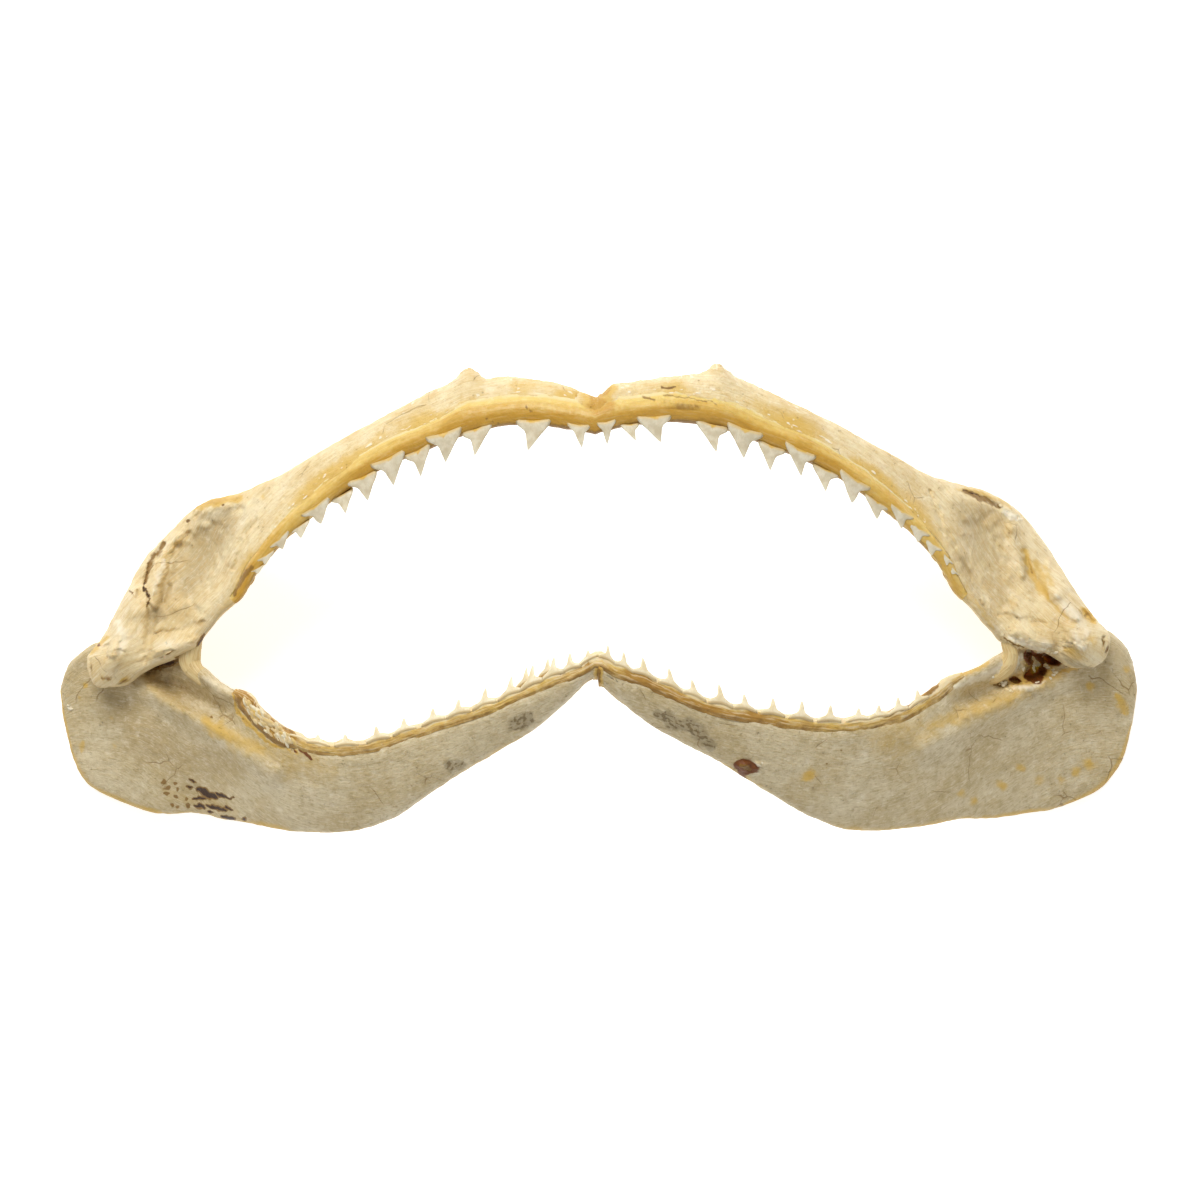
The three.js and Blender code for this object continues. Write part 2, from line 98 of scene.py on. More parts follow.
LOWER_FORM = {"toothed": [3.8, 4.6, 4.6, 3.6, 2.8], "outer": [2.8, 2.4, 2.2, 2.4, 2.4], "bow": 1.2}
UPPER_FORM = {"toothed": [4.8, 5.4, 4.8, 3, 3.4], "outer": [3.6, 3.8, 3.2, 3, 3.6], "bow": 0.8}
THINNEST = 0.8
LOWER_RELIEF = [
    ([(148, -26), (134, -32), (124, -37), (112, -44), (101, -50)], 3, 3.4),
    ([(142, -21.5), (131, -26.5), (116, -32)], -3, 3.8),
    ([(126, -21.5), (114, -27)], 1, 2.6),
    ([(158, -45), (125, -58)], -0.8, 11),
]
UPPER_RELIEF = [
    ([(133, 20), (139, 9.5), (144, 0)], 2.4, 3),
    ([(145, -2), (149, -10), (153.5, -17)], 4.2, 5),
    ([(112, 31), (125, 28), (133, 22)], 1.5, 2.6),
    ([(133, -11.5), (139, -15.5)], 2.2, 3.6),
    ([(120, 18), (127, 5), (136, -5)], -1.6, 7.5),
]
ORBITAL_PROCESS = {"height": 3.3, "reach": 3.5, "right": -40.6, "left": 37.0}
# Small unevenness of the real margins in y: where from the midline, how much and its reach.
UNEVEN = {
    "upper_right_toothed": [(120, 1.3, 10)],
    "upper_right_outer": [
        (147, 1.6, 6), (158, -1.6, 4), (128, 1.0, 8), (108, 1.3, 7), (51, 0.3, 5), (34, -0.7, 3),
        (1, 0.9, 3),
    ],
    "upper_left_toothed": [(120, -1.3, 10)],
    "upper_left_outer": [(150, -2.6, 9), (110, 0.9, 7), (4.5, 2.1, 4.2), (52, -0.5, 6)],
    "lower_right_toothed": [(109, 0.7, 5), (125, 0.7, 7)],
    "lower_right_outer": [(3, 2.2, 5), (13, 0.8, 6), (64, -0.9, 10), (128, 1.0, 7), (165, -1.8, 7)],
    "lower_left_toothed": [(109, -0.7, 5), (125, -0.7, 7), (164, 2.0, 6)],
    "lower_left_outer": [(5, -1.6, 5), (15, -1.4, 7), (26, -0.9, 8), (128, -1.0, 7), (162, -1.4, 8)],
}

# The gum's reach over the front and the back, its thickness there, how far it stands out past the
# toothed margin, and the t where it ends.
UPPER_GUM = {"front": 8, "back": 11, "on_front": 0.9, "on_back": 1.3,
             "rim": 1.2, "crest": 1.2, "end": 0.665}
LOWER_GUM = {"front": 2.4, "back": 10, "on_front": 0.75, "on_back": 1.4,
             "rim": 1.2, "crest": 1.9, "end": 0.635}

# Tips of the lower teeth as the photograph shows them, in pixels, out from the midline.
LOWER_TIPS = {
    "right": [
        (588, 650), (570, 652.7), (554, 657), (533, 665), (511.7, 676.5), (485.7, 688), (459, 699),
        (433, 708), (404, 718), (376, 726), (345, 734), (318, 734.5), (299, 732),
    ],
    "left": [
        (608, 645), (624, 652), (643, 657.5), (669, 668), (692, 679.5), (719, 684), (744, 694),
        (773, 698), (802, 701), (830.7, 705), (859, 708), (879, 705), (898, 697), (917, 690),
    ],
}
# Upper teeth as the photograph shows them, in pixels: left corner, right corner, tip.
UPPER_TEETH = {
    "right": [
        [566.7, 423.9, 590.7, 425.9, 582, 447.9], [515.7, 420.8, 551.9, 420.3, 528, 450.4],
        [461.9, 433.7, 493, 423, 474.9, 455.6], [425.7, 438.8, 462.4, 427.6, 445.8, 462],
        [404.8, 457.1, 430.8, 443.9, 420.9, 476.5], [370.6, 466.3, 405.3, 450, 393.6, 485.2],
        [345.1, 483.7, 377.2, 471.4, 367.8, 500.5], [329.9, 500.6, 353.4, 489.4, 345.7, 513.4],
        [301.3, 515.9, 329.9, 496.5, 321.2, 523.6], [289.6, 532.2, 310, 520, 301.3, 537.9],
        [269.7, 547.6, 289, 530.2, 283, 549], [257, 560.8, 274.3, 550.6, 265.6, 564.9],
        [250.5, 572, 264, 565, 258, 574],
    ],
    "left": [
        [596.8, 423.9, 616.7, 419.8, 607.3, 444.8], [619.8, 424.9, 639, 424, 636, 441],
        [636.1, 417.8, 671.8, 415.7, 660.6, 442.2], [694.3, 419.8, 728.5, 429, 716.2, 451.9],
        [726.4, 422.9, 763.7, 435.1, 743.8, 458], [757.6, 440.2, 786.1, 451.4, 770.3, 470.3],
        [784.4, 441.8, 816, 457.1, 801.2, 476], [811.9, 463.8, 839.5, 475.5, 825.7, 491.3],
        [839.5, 469.4, 870.6, 488.8, 851.9, 502.6], [864.5, 493.9, 889, 509.2, 876.7, 518.9],
        [889.2, 503, 913.1, 518.4, 901.2, 528.4], [908.4, 521.2, 929.9, 535.6, 917.9, 542.3],
        [924.6, 537.5, 941.8, 550.4, 931.1, 555.7], [940.9, 550.9, 953.3, 563.8, 946.6, 565.2],
        [949, 565, 960, 576, 952, 574],
    ],
}
# How far the tips stand above the toothed margin.
UPPER_FORWARD = 2.8
LOWER_FORWARD = 1.4

# How finely the pieces are divided, in millimetres or in steps.
SPACING_FRONT = 0.5
SPACING_JOINT = 0.42
JOINT_START = 0.6
ACROSS_FRONT = 96
ACROSS_BACK = 22
ROUND_STEPS = 7
GUM_SPACING = 0.6
TURN_STEPS = 15

SEED = 11
random = np.random.default_rng(SEED)


def linear(red, green, blue):
    """A colour read off the photograph, as the renderer takes it."""
    def one(value):
        share = value / 255
        return share / 12.92 if share <= 0.04045 else ((share + 0.055) / 1.055) ** 2.4
    return (one(red), one(green), one(blue), 1)


def smooth(low, high, value):
    share = np.clip((np.asarray(value, float) - low) / (high - low), 0, 1)
    return share * share * (3 - 2 * share)


def bell(distance, reach):
    return np.exp(-((distance / reach) ** 2))


def plateau(distance, reach):
    """Like a bell, but with a flat top and steep sides."""
    return np.exp(-((distance / reach) ** 4))


def round_edge(distance):
    inward = np.clip(distance, 0, 1)
    return np.sqrt(1 - (1 - inward) ** 2)


def along(values, share):
    return np.interp(np.clip(share, 0, 1), np.linspace(0, 1, len(values)), values)


def noise(points, size, seed=0):
    """Smooth repeatable noise between -1 and 1, with lumps of about a size."""
    place = np.asarray(points, float) / size + 1000.5
    cell = np.floor(place).astype(np.int64)
    part = place - cell
    soft = part * part * (3 - 2 * part)
    total = 0
    for corner in itertools.product((0, 1), repeat=3):
        x, y, z = (cell[..., k] + corner[k] for k in range(3))
        mixed = (x * 73856093 ^ y * 19349663 ^ z * 83492791 ^ (seed + 1) * 50331653) & 0xFFFFFFFF
        mixed = ((mixed ^ (mixed >> 13)) * 1274126177) & 0xFFFFFFFF
        mixed = ((mixed ^ (mixed >> 16)) * 2246822519) & 0xFFFFFFFF
        value = ((mixed ^ (mixed >> 15)) & 0xFFFFFF) / 0x7FFFFF - 1
        weight = 1
        for k in range(3):
            weight = weight * (soft[..., k] if corner[k] else 1 - soft[..., k])
        total = total + weight * value
    return total


def layered(points, size, seed=0, layers=3):
    """Noise with finer noise on it."""
    return sum(noise(points, size / 2 ** k, seed + 17 * k) / 2 ** k for k in range(layers))


def lumpy(points, lumps):
    """Heights of a rough surface from lumps: height, size and seed."""
    return sum(height * layered(points, size, seed) for height, size, seed in lumps)


def distance_to_line(places, line):
    """Distance in the plane from each place to a line through points."""
    line = [np.array(point, float) for point in line]
    if len(line) == 1:
        return np.linalg.norm(places - line[0], axis=-1)
    nearest = np.full(places.shape[:-1], np.inf)
    for start, end in zip(line, line[1:]):
        step = end - start
        share = np.clip(((places - start) @ step) / (step @ step), 0, 1)
        nearest = np.minimum(nearest, np.linalg.norm(places - start - share[..., None] * step, axis=-1))
    return nearest


def drawn(places, points, line, reach):
    """How far places are from a line, in reaches, for a line of uneven width with thin ends."""
    line = [np.array(point, float) for point in line]
    wide = reach * (1 + 0.35 * noise(points, 2.2, 61))
    if len(line) == 1:
        return np.linalg.norm(places - line[0], axis=-1) / wide
    steps = [np.linalg.norm(end - start) for start, end in zip(line, line[1:])]
    nearest, where, before = np.full(places.shape[:-1], np.inf), 0.0, 0.0
    for start, end, size in zip(line, line[1:], steps):
        share = np.clip(((places - start) @ (end - start)) / size ** 2, 0, 1)
        away = np.linalg.norm(places - start - share[..., None] * (end - start), axis=-1)
        where = np.where(away < nearest, before + share * size, where)
        nearest = np.minimum(nearest, away)
        before += size
    return nearest / (wide * (0.35 + 0.65 * np.sin(np.pi * (0.06 + 0.88 * where / before)) ** 0.7))


def pixels_of(points):
    """Where the photograph shows points."""
    depth = CAMERA_HEIGHT - points[..., 2]
    return np.stack([
        ORIGIN_PIXEL[0] + points[..., 0] * FOCAL_PIXELS / depth,
        ORIGIN_PIXEL[1] - points[..., 1] * FOCAL_PIXELS / depth,
    ], -1)


def at_pixel(x, y, z):
    """The point at height z that the photograph shows at a pixel."""
    size = (CAMERA_HEIGHT - z) / FOCAL_PIXELS
    return np.array([(x - ORIGIN_PIXEL[0]) * size, (ORIGIN_PIXEL[1] - y) * size, z])


def unit(vectors):
    return vectors / np.maximum(np.linalg.norm(vectors, axis=-1, keepdims=True), 1e-9)


def smooth_curve(points):
    """A curve through points, the same as the solids' margins."""
    knots = np.array(points, float)
    knots = np.vstack([2 * knots[0] - knots[1], knots, 2 * knots[-1] - knots[-2]])

    def at(t):
        place = np.clip(np.asarray(t, float), 0, 1) * (len(knots) - 3)
        index = np.minimum(place.astype(int), len(knots) - 4)
        part = (place - index)[..., None]
        a, b, c, d = (knots[index + k] for k in range(4))
        return b + 0.5 * part * (c - a + part * (2 * a - 5 * b + 4 * c - d + part * (3 * b - 3 * c + d - a)))
    return at


def lift_at(lift, x):
    hump = lift.get("hump", 0) * bell(x - lift.get("hump_at", 0), lift.get("hump_reach", 1))
    return lift["start"] + lift["growth"] * (x / lift["at"]) ** lift["power"] + hump


def to_side(side, x, y, lift):
    return (x, y + lift) if side == "left" else (-x, y - lift)


class Plate:
    """One cartilage: its margins, and its middle surface and thickness between them."""

    def __init__(self, jaw, side):
        upper = jaw == "upper"
        self.jaw, self.side, self.key = jaw, side, f"{jaw}_{side}"
        self.sign = 1 if side == "left" else -1
        outline = UPPER_OUTLINE if upper else LOWER_OUTLINE
        toothed_lift = UPPER_LIFT if upper else LOWER_LIFT
        outer_lift = UPPER_LIFT if upper else LOWER_OUTER_LIFT
        self.form = UPPER_FORM if upper else LOWER_FORM
        self.gum = UPPER_GUM if upper else LOWER_GUM

        def margin(start, lift, key):
            rows = [row[start:start + 3] for row in outline]
            curve = smooth_curve([(*to_side(side, x, y, lift_at(lift, x)), z) for x, y, z in rows])

            def at(t):
                point = curve(t)
                for x, change, reach in UNEVEN[f"{self.key}_{key}"]:
                    point[..., 1] += change * bell(np.abs(point[..., 0]) - x, reach)
                return point
            return at
        self.toothed_curve = margin(0, toothed_lift, "toothed")
        self.outer_curve = margin(3, outer_lift, "outer")
        self.relief = [
            ([to_side(side, x, y, lift_at(toothed_lift, x)) for x, y in line], height, reach)
            for line, height, reach in (UPPER_RELIEF if upper else LOWER_RELIEF)
        ]
        fine = np.linspace(0, 1, 801)
        middle = (self.toothed_curve(fine) + self.outer_curve(fine)) / 2
        steps = np.linalg.norm(np.diff(middle, axis=0), axis=1)
        self.fine = fine
        self.lengths = np.concatenate([[0], np.cumsum(steps)])
        self.length = self.lengths[-1]
        ends = [(self.toothed_curve(t) + self.outer_curve(t)) / 2 for t in (0.94, 1)]
        self.end_length = np.linalg.norm(ends[1] - ends[0]) / 0.06

    def distance_along(self, t):
        return np.interp(t, self.fine, self.lengths)

    def parameter(self, distance):
        return np.interp(distance, self.lengths, self.fine)

    def section(self, t):
        t = np.asarray(t, float)
        a, b = self.toothed_curve(t), self.outer_curve(t)
        if self.jaw == "upper":
            b = b.copy()
            away = b[..., 0] - ORBITAL_PROCESS[self.side]
            b[..., 1] += ORBITAL_PROCESS["height"] * bell(away, ORBITAL_PROCESS["reach"])
        direction = unit(b - a)
        a = a + direction * (self.gum["rim"] * round_edge((self.gum["end"] - t) * 12))[..., None]
        length = np.linalg.norm(b - a, axis=-1)
        return {
            "t": t, "a": a, "direction": direction, "length": length,
            "toothed": np.minimum(along(self.form["toothed"], t), 0.45 * length),
            "outer": np.minimum(along(self.form["outer"], t), 0.45 * length),
            "end": round_edge((1 - t) * self.end_length / self.form["outer"][-1]),
        }

    def middle(self, s, d):
        """Points on the middle surface of a section, and how far over it they are."""
        share = np.clip(d / s["length"], 0, 1)
        point = s["a"] + s["direction"] * np.asarray(d)[..., None]
        point[..., 2] += self.form["bow"] * 4 * share * (1 - share) * s["end"]
        return point, share

    def at(self, t, d, detail=None):
        """Middle surface and the half thickness to the front and to the back, at arrays t and d."""
        s = self.section(t)
        point, share = self.middle(s, d)
        flat = s["toothed"] + (s["outer"] - s["toothed"]) * share
        rounding = round_edge(d / s["toothed"]) * round_edge((s["length"] - d) / s["outer"]) * s["end"]
        relief = sum(
            height * bell(distance_to_line(point[..., :2], line), reach)
            for line, height, reach in self.relief)
        front = rounding * np.maximum(flat + relief, THINNEST)
        back = rounding * flat
        if detail is not None:
            shown = point.copy()
            shown[..., 2] += front
            front = np.maximum(front + detail(pixels_of(shown), shown) * rounding, 0.35 * rounding - back)
        return point, front, back

    def locate(self, x, y):
        """The t and d of a point seen from the front."""
        s = self.section(self.fine)
        flat = s["direction"][:, :2]
        to = np.array([x, y]) - s["a"][:, :2]
        size = np.linalg.norm(flat, axis=1)
        off = np.abs(to[:, 0] * flat[:, 1] - to[:, 1] * flat[:, 0]) / size
        inward = (to * flat).sum(1) / size ** 2
        off = off + 5 * np.maximum(np.abs(inward / s["length"] - 0.5) - 1.2, 0)
        best = int(np.argmin(off))
        return self.fine[best], inward[best]

    def surface(self, t, d, lift=0.0, face=1):
        """A point on the front (1) or the back (-1) of the cartilage, raised by a lift."""
        point, front, back = self.at(np.asarray(t, float), np.maximum(d, 0.02))
        point[..., 2] += face * ((front if face > 0 else back) + lift)
        return point

    def tangent(self, t):
        return unit(self.toothed_curve(min(t + 0.004, 1)) - self.toothed_curve(max(t - 0.004, 0)))


def grid_faces(index, closed=False):
    """Four-sided faces between the rows and columns of an array of point numbers."""
    if closed:
        index = np.concatenate([index, index[:, :1]], 1)
    corners = [index[:-1, :-1], index[:-1, 1:], index[1:, 1:], index[1:, :-1]]
    return np.stack([corner.ravel() for corner in corners], 1)


def zipped(first, second):
    """Faces between two chains of point numbers with the same ends."""
    faces, i, j = [], 0, 0
    while i < len(first) - 1 or j < len(second) - 1:
        behind = (i + 1) * (len(second) - 1) <= (j + 1) * (len(first) - 1)
        if j == len(second) - 1 or (i < len(first) - 1 and behind):
            faces.append([first[i + 1], first[i], second[j], second[j]])
            i += 1
        else:
            faces.append([first[i], second[j], second[j + 1], second[j + 1]])
            j += 1
    return np.array(faces)


def split_faces(quads):
    """Faces without repeated corners: four-sided ones, then three-sided ones."""
    quads = np.asarray(quads)
    repeated = quads == np.roll(quads, -1, 1)
    whole = quads[repeated.sum(1) == 0]
    thin = quads[repeated.sum(1) == 1]
    triangles = thin[~(thin == np.roll(thin, -1, 1))].reshape(-1, 3) if len(thin) else np.zeros((0, 3), int)
    return whole, triangles


def compact(quads, count):
    """The points that faces use, and the faces renumbered to them."""
    used = np.unique(quads)
    number = np.zeros(count, int)
    number[used] = np.arange(len(used))
    return used, number[quads]


def numbered(rows, columns):
    return np.arange(rows * columns).reshape(rows, columns)


def two_sided(over, under):
    """Point numbers of an upper side and an under side that share their margins."""
    top = numbered(*over)
    below = top.size + numbered(*under)
    below[:, 0], below[:, -1] = top[:, 0], top[:, -1]
    return top, below


def pinched(rows, columns):
    """The points that rings use where both ends draw together, and the faces between them."""
    index = numbered(rows, columns)
    index[0], index[-1] = index[0, 0], index[-1, 0]
    return compact(grid_faces(index, closed=True), index.size)


def capped(rows, columns):
    """Faces of a row of rings that are closed flat at both ends."""
    index = numbered(rows, columns)
    first = np.arange((columns - 1) // 2)
    caps = np.stack([first, first + 1, columns - 2 - first, columns - 1 - first], 1)
    return np.concatenate([grid_faces(index, closed=True), index[0][caps], index[-1][caps][:, ::-1]])


def ball(rows, columns):
    """Points and faces of a ball of radius 1."""
    polar = np.linspace(0, np.pi, rows)[:, None]
    turn = np.linspace(0, 2 * np.pi, columns, endpoint=False)[None]
    points = np.stack([
        np.sin(polar) * np.cos(turn), np.sin(polar) * np.sin(turn), np.cos(polar) + 0 * turn], -1)
    used, quads = pinched(rows, columns)
    return points.reshape(-1, 3)[used], quads


def normals_of(points, quads):
    """Outward directions at the points of a closed mesh."""
    corners = points[quads]
    across = np.cross(corners[:, 2] - corners[:, 0], corners[:, 3] - corners[:, 1])
    total = np.zeros_like(points)
    for axis, corner in itertools.product(range(3), range(4)):
        total[:, axis] += np.bincount(quads[:, corner], across[:, axis], len(points))
    return unit(total) * np.sign((points * total).sum())


def stain_and_shade_attributes(count, kinds):
    """Point attributes for a cartilage look, from the strength of each kind of mark: stains, and tan and dark
    marks that are partly painted shade.
    """
    values = {kind: kinds.get(kind, 0) + np.zeros(count) for kind in KINDS}
    first = np.stack([values["amber"], values["dark"], values["grey"], np.ones(count)], 1)
    return {"marks": first, "white": values["white"], "tan": values["tan"], "rust": values["rust"]}


def make_mesh(name, points, quads, marks=None):
    """A smooth mesh in metres with its faces outwards. marks are numbers kept at each point."""
    quads = np.asarray(quads)
    whole, triangles = split_faces(quads)
    a, b, c, d = (points[whole[:, k]] for k in range(4))
    volume = (np.cross(a, b) * c).sum() + (np.cross(a, c) * d).sum()
    if volume < 0:
        whole, triangles = whole[:, ::-1], triangles[:, ::-1]
    mesh = bpy.data.meshes.new(name)
    mesh.vertices.add(len(points))
    mesh.vertices.foreach_set("co", (points * MM).astype(np.float32).ravel())
    corners = np.concatenate([whole.ravel(), triangles.ravel()]).astype(np.int32)
    mesh.loops.add(len(corners))
    mesh.loops.foreach_set("vertex_index", corners)
    starts = np.concatenate([
        np.arange(len(whole)) * 4, 4 * len(whole) + np.arange(len(triangles)) * 3]).astype(np.int32)
    mesh.polygons.add(len(starts))
    mesh.polygons.foreach_set("loop_start", starts)
    mesh.polygons.foreach_set("use_smooth", np.ones(len(starts), bool))
    for key, values in (marks or {}).items():
        values = np.asarray(values, np.float32)
        kind, field = {1: ("FLOAT", "value"), 3: ("FLOAT_VECTOR", "vector"),
                       4: ("FLOAT_COLOR", "color")}[values.size // len(values)]
        mesh.attributes.new(key, kind, "POINT").data.foreach_set(field, values.ravel())
    mesh.update(calc_edges=True)
    mesh.validate()
    return mesh


def linked(name, data):
    """A new object in the scene."""
    made = bpy.data.objects.new(name, data)
    bpy.context.scene.collection.objects.link(made)
    return made


def add_piece(name, mesh, material, nodes=()):
    """Puts a mesh into the scene as a piece of the model."""
    piece = linked(name, mesh)
    mesh.materials.append(material)
    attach(piece, "root")
    if nodes:
        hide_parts(*nodes)
    return piece


class Heap:
    """Many small closed forms gathered into one mesh."""

    def __init__(self):
        self.points, self.quads, self.marks, self.count = [], [], {}, 0

    def add(self, points, quads, **marks):
        self.points.append(points)
        self.quads.append(np.asarray(quads) + self.count)
        for key, values in marks.items():
            self.marks.setdefault(key, []).append(values)
        self.count += len(points)

    def mesh(self, name):
        marks = {key: np.concatenate(values) for key, values in self.marks.items()}
        return make_mesh(name, np.vstack(self.points), np.vstack(self.quads), marks)


# Materials.

class Look:
    """A node material, built up with short calls."""

    def __init__(self, name):
        self.material = bpy.data.materials.new(name)
        self.material.use_nodes = True
        self.tree = self.material.node_tree
        self.shader = self.tree.nodes["Principled BSDF"]
        self.attributes = {}

    def node(self, kind, settings=None, **inputs):
        made = self.tree.nodes.new(kind)
        for key, value in (settings or {}).items():
            setattr(made, key, value)
        for key, value in inputs.items():
            socket = made.inputs[int(key[1:])] if key[0] == "i" and key[1:].isdigit() else made.inputs[key]
            self.put(socket, value)
        return made

    def put(self, socket, value):
        if isinstance(value, bpy.types.NodeSocket):
            self.tree.links.new(value, socket)
        else:
            socket.default_value = value

    def attribute(self, name, output="Fac"):
        if name not in self.attributes:
            self.attributes[name] = self.node("ShaderNodeAttribute", {"attribute_name": name})
        return self.attributes[name].outputs[output]

    def channels(self, name):
        """The three parts of a colour attribute."""
        return self.node("ShaderNodeSeparateColor", None, Color=self.attribute(name, "Color")).outputs[:3]

    def place(self):
        return self.node("ShaderNodeTexCoord").outputs["Object"]

    def noise(self, vector, scale=1.0, detail=3, roughness=0.55, distortion=0.0):
        return self.node("ShaderNodeTexNoise", None, Vector=vector, Scale=scale, Detail=detail,
                         Roughness=roughness, Distortion=distortion).outputs["Fac"]

    def streaks(self, along_grain, across_grain, *settings):
        """Noise drawn out along the grain, with so many lumps to a millimetre each way."""
        stretched = self.node("ShaderNodeVectorMath", {"operation": "MULTIPLY"},
                              i0=self.attribute("grain", "Vector"), i1=(along_grain, across_grain, 1))
        return self.noise(stretched.outputs[0], 1.0, *settings)

    def math(self, operation, a, b=0.0, c=0.0):
        return self.node("ShaderNodeMath", {"operation": operation}, i0=a, i1=b, i2=c).outputs[0]

    def step(self, value, low, high):
        """A soft step from 0 at low to 1 at high."""
        settings = {"interpolation_type": "SMOOTHSTEP"}
        return self.node("ShaderNodeMapRange", settings, i0=value, i1=low, i2=high).outputs[0]

    def part(self, value, low, high, share):
        """A soft step from 0 at low to a share at high."""
        return self.math("MULTIPLY", self.step(value, low, high), share)

    def broken(self, mask, wobble, amount, low, high):
        """A soft step of a mask whose edge a noise breaks up."""
        moved = self.math("ADD", mask, self.math("MULTIPLY_ADD", wobble, amount, -0.5 * amount))
        return self.step(moved, low, high)

    def layers(self, colour, *over):
        """A colour with others laid over it in turn, each with its share."""
        for share, next_colour in over:
            made = self.tree.nodes.new("ShaderNodeMix")
            made.data_type = "RGBA"
            for number, value in ((0, share), (6, colour), (7, next_colour)):
                self.put(made.inputs[number], value)
            colour = made.outputs[2]
        return colour

    def bumps(self, *heights):
        """Relief from one or more heights, each with its distance and strength."""
        normal = None
        for height, distance, strength in heights:
            made = self.node("ShaderNodeBump", None, Height=height, Distance=distance, Strength=strength)
            if normal is not None:
                self.put(made.inputs["Normal"], normal)
            normal = made.outputs[0]
        return normal

    def finish(self, colour, roughness, normal, subsurface=0.0, radius=(1.0, 0.5, 0.25), scale=0.002):
        inputs = {
            "Base Color": colour, "Roughness": roughness, "Normal": normal,
            "Subsurface Weight": subsurface, "Subsurface Radius": radius, "Subsurface Scale": scale}
        for key, value in inputs.items():
            self.put(self.shader.inputs[key], value)
        return self.material


AMBER = linear(212, 172, 70)
DEEP_AMBER = linear(188, 140, 38)
PALE_AMBER = linear(230, 196, 104)
DARK = linear(62, 34, 2)
BROWN = linear(136, 98, 30)
GREY = linear(122, 106, 78)
RUST = linear(116, 62, 4)
OLIVE = linear(106, 84, 32)
# Tan, partly the cartilage's own tone and partly painted shade in hollows and on sides turned from the light.
TAN_AND_SHADE = linear(184, 162, 116)
WHITE = linear(243, 232, 205)
COVER = linear(222, 186, 106)
ROOT = linear(232, 214, 172)
ROOT_STAIN = linear(196, 160, 100)


def cartilage_look(name, pale, warm, deep, fibre=1.0, fibre_rate=0.16, cloud=0.4, blot=0.85):
    """Dried cartilage: fibres along the jaw, amber and grey stains, painted shade in hollows and creases,
    pores and fine cracks.
    """
    look = Look(name)
    place = look.place()
    large = look.noise(place, 55, 3)
    middle = look.noise(place, 300, 5, 0.68)
    mottle = look.noise(place, 800, 4, 0.7)
    broad = look.streaks(0.07, 0.14, 3, 0.6)
    fibres = look.streaks(fibre_rate, 1.0, 5, 0.68, 0.6)
    threads = look.streaks(1.4 * fibre_rate, 2.1, 3, 0.6, 0.5)
    spots = look.streaks(0.55, 0.9, 3, 0.5)
    amber, dark, grey = look.channels("marks")
    white, tan, rust = (look.attribute(kind) for kind in ("white", "tan", "rust"))

    def torn(mask, low, high, amount):
        return look.broken(mask, middle, amount, low, high)
    pores = look.node("ShaderNodeTexVoronoi", None, Vector=place, Scale=560.0).outputs["Distance"]
    speckle = look.math("MULTIPLY", look.step(pores, 0.24, 0.1), look.step(middle, 0.5, 0.62))
    speckled = look.math("MULTIPLY_ADD", look.step(grey, 0.1, 0.8), 0.7, 0.25)
    blots = look.math("MULTIPLY", look.step(look.math("MULTIPLY_ADD", grey, 0.12, spots), 0.59, 0.67),
                      look.step(grey, 0.45, 0.75))
    bend = look.node("ShaderNodeTexNoise", None, Vector=place, Scale=90.0, Detail=2.0).outputs["Color"]
    bent = look.node("ShaderNodeVectorMath", {"operation": "MULTIPLY_ADD"},
                     i0=bend, i1=(0.006, 0.006, 0.006), i2=place).outputs[0]
    edges = look.node("ShaderNodeTexVoronoi", {"feature": "DISTANCE_TO_EDGE"}, Vector=bent, Scale=48.0)
    crack = look.math("MULTIPLY", look.step(edges.outputs["Distance"], 0.009, 0.002),
                      look.step(large, 0.53, 0.6))
    colour = look.layers(
        pale,
        (look.step(large, 0.36, 0.64), warm),
        (look.part(broad, 0.45, 0.7, cloud), deep),
        (look.part(broad, 0.5, 0.3, cloud), WHITE),
        # painted shade, partly own colour: the tan mark darkens hollows such as the quadrate fossa
        (torn(tan, 0.1, 1.1, 0.3), TAN_AND_SHADE),
        (look.part(fibres, 0.5, 0.72, 0.42 * fibre), deep),
        (look.part(fibres, 0.48, 0.26, 0.4 * fibre), WHITE),
        (look.part(threads, 0.52, 0.68, 0.5), deep),
        (look.part(threads, 0.46, 0.34, 0.3), WHITE),
        (look.part(middle, 0.5, 0.68, 0.4), deep),
        (look.part(middle, 0.46, 0.3, 0.35), WHITE),
        (look.part(mottle, 0.54, 0.72, 0.4), deep),
        (look.part(torn(amber, 0.05, 0.75, 0.3), 0, 1, 0.85), AMBER),
        (look.part(torn(amber, 0.6, 1.1, 0.5), 0, 1, 0.8), DEEP_AMBER),
        (look.part(torn(white, 0.2, 0.8, 0.8), 0, 1, 0.85), WHITE),
        (look.part(torn(grey, 0.1, 0.8, 0.6), 0, 1, 0.42), GREY),
        (look.math("MULTIPLY", speckle, speckled), DARK),
        (look.math("MULTIPLY", blots, blot), OLIVE),
        (look.math("MULTIPLY", crack, 0.6), BROWN),
        (torn(rust, 0.25, 0.6, 0.5), RUST),
        # dark marks: stains and holes, and painted shadow in the creases at the jaw joints
        (look.part(torn(dark, 0.25, 0.5, 0.5), 0, 1, 0.9), BROWN),
        (torn(dark, 0.62, 0.85, 0.5), DARK))
    grain = look.math("ADD", look.math("MULTIPLY", fibres, 0.6), look.math("MULTIPLY", threads, 0.4))
    normal = look.bumps(
        (grain, 0.0007, 0.25 + 0.3 * fibre),
        (look.math("SUBTRACT", middle, look.math("MULTIPLY", crack, 0.5)), 0.0012, 0.5),
        (look.math("SUBTRACT", mottle, speckle), 0.00035, 0.7))
    return look.finish(colour, look.math("MULTIPLY_ADD", fibres, 0.25, 0.38), normal, 0.08)


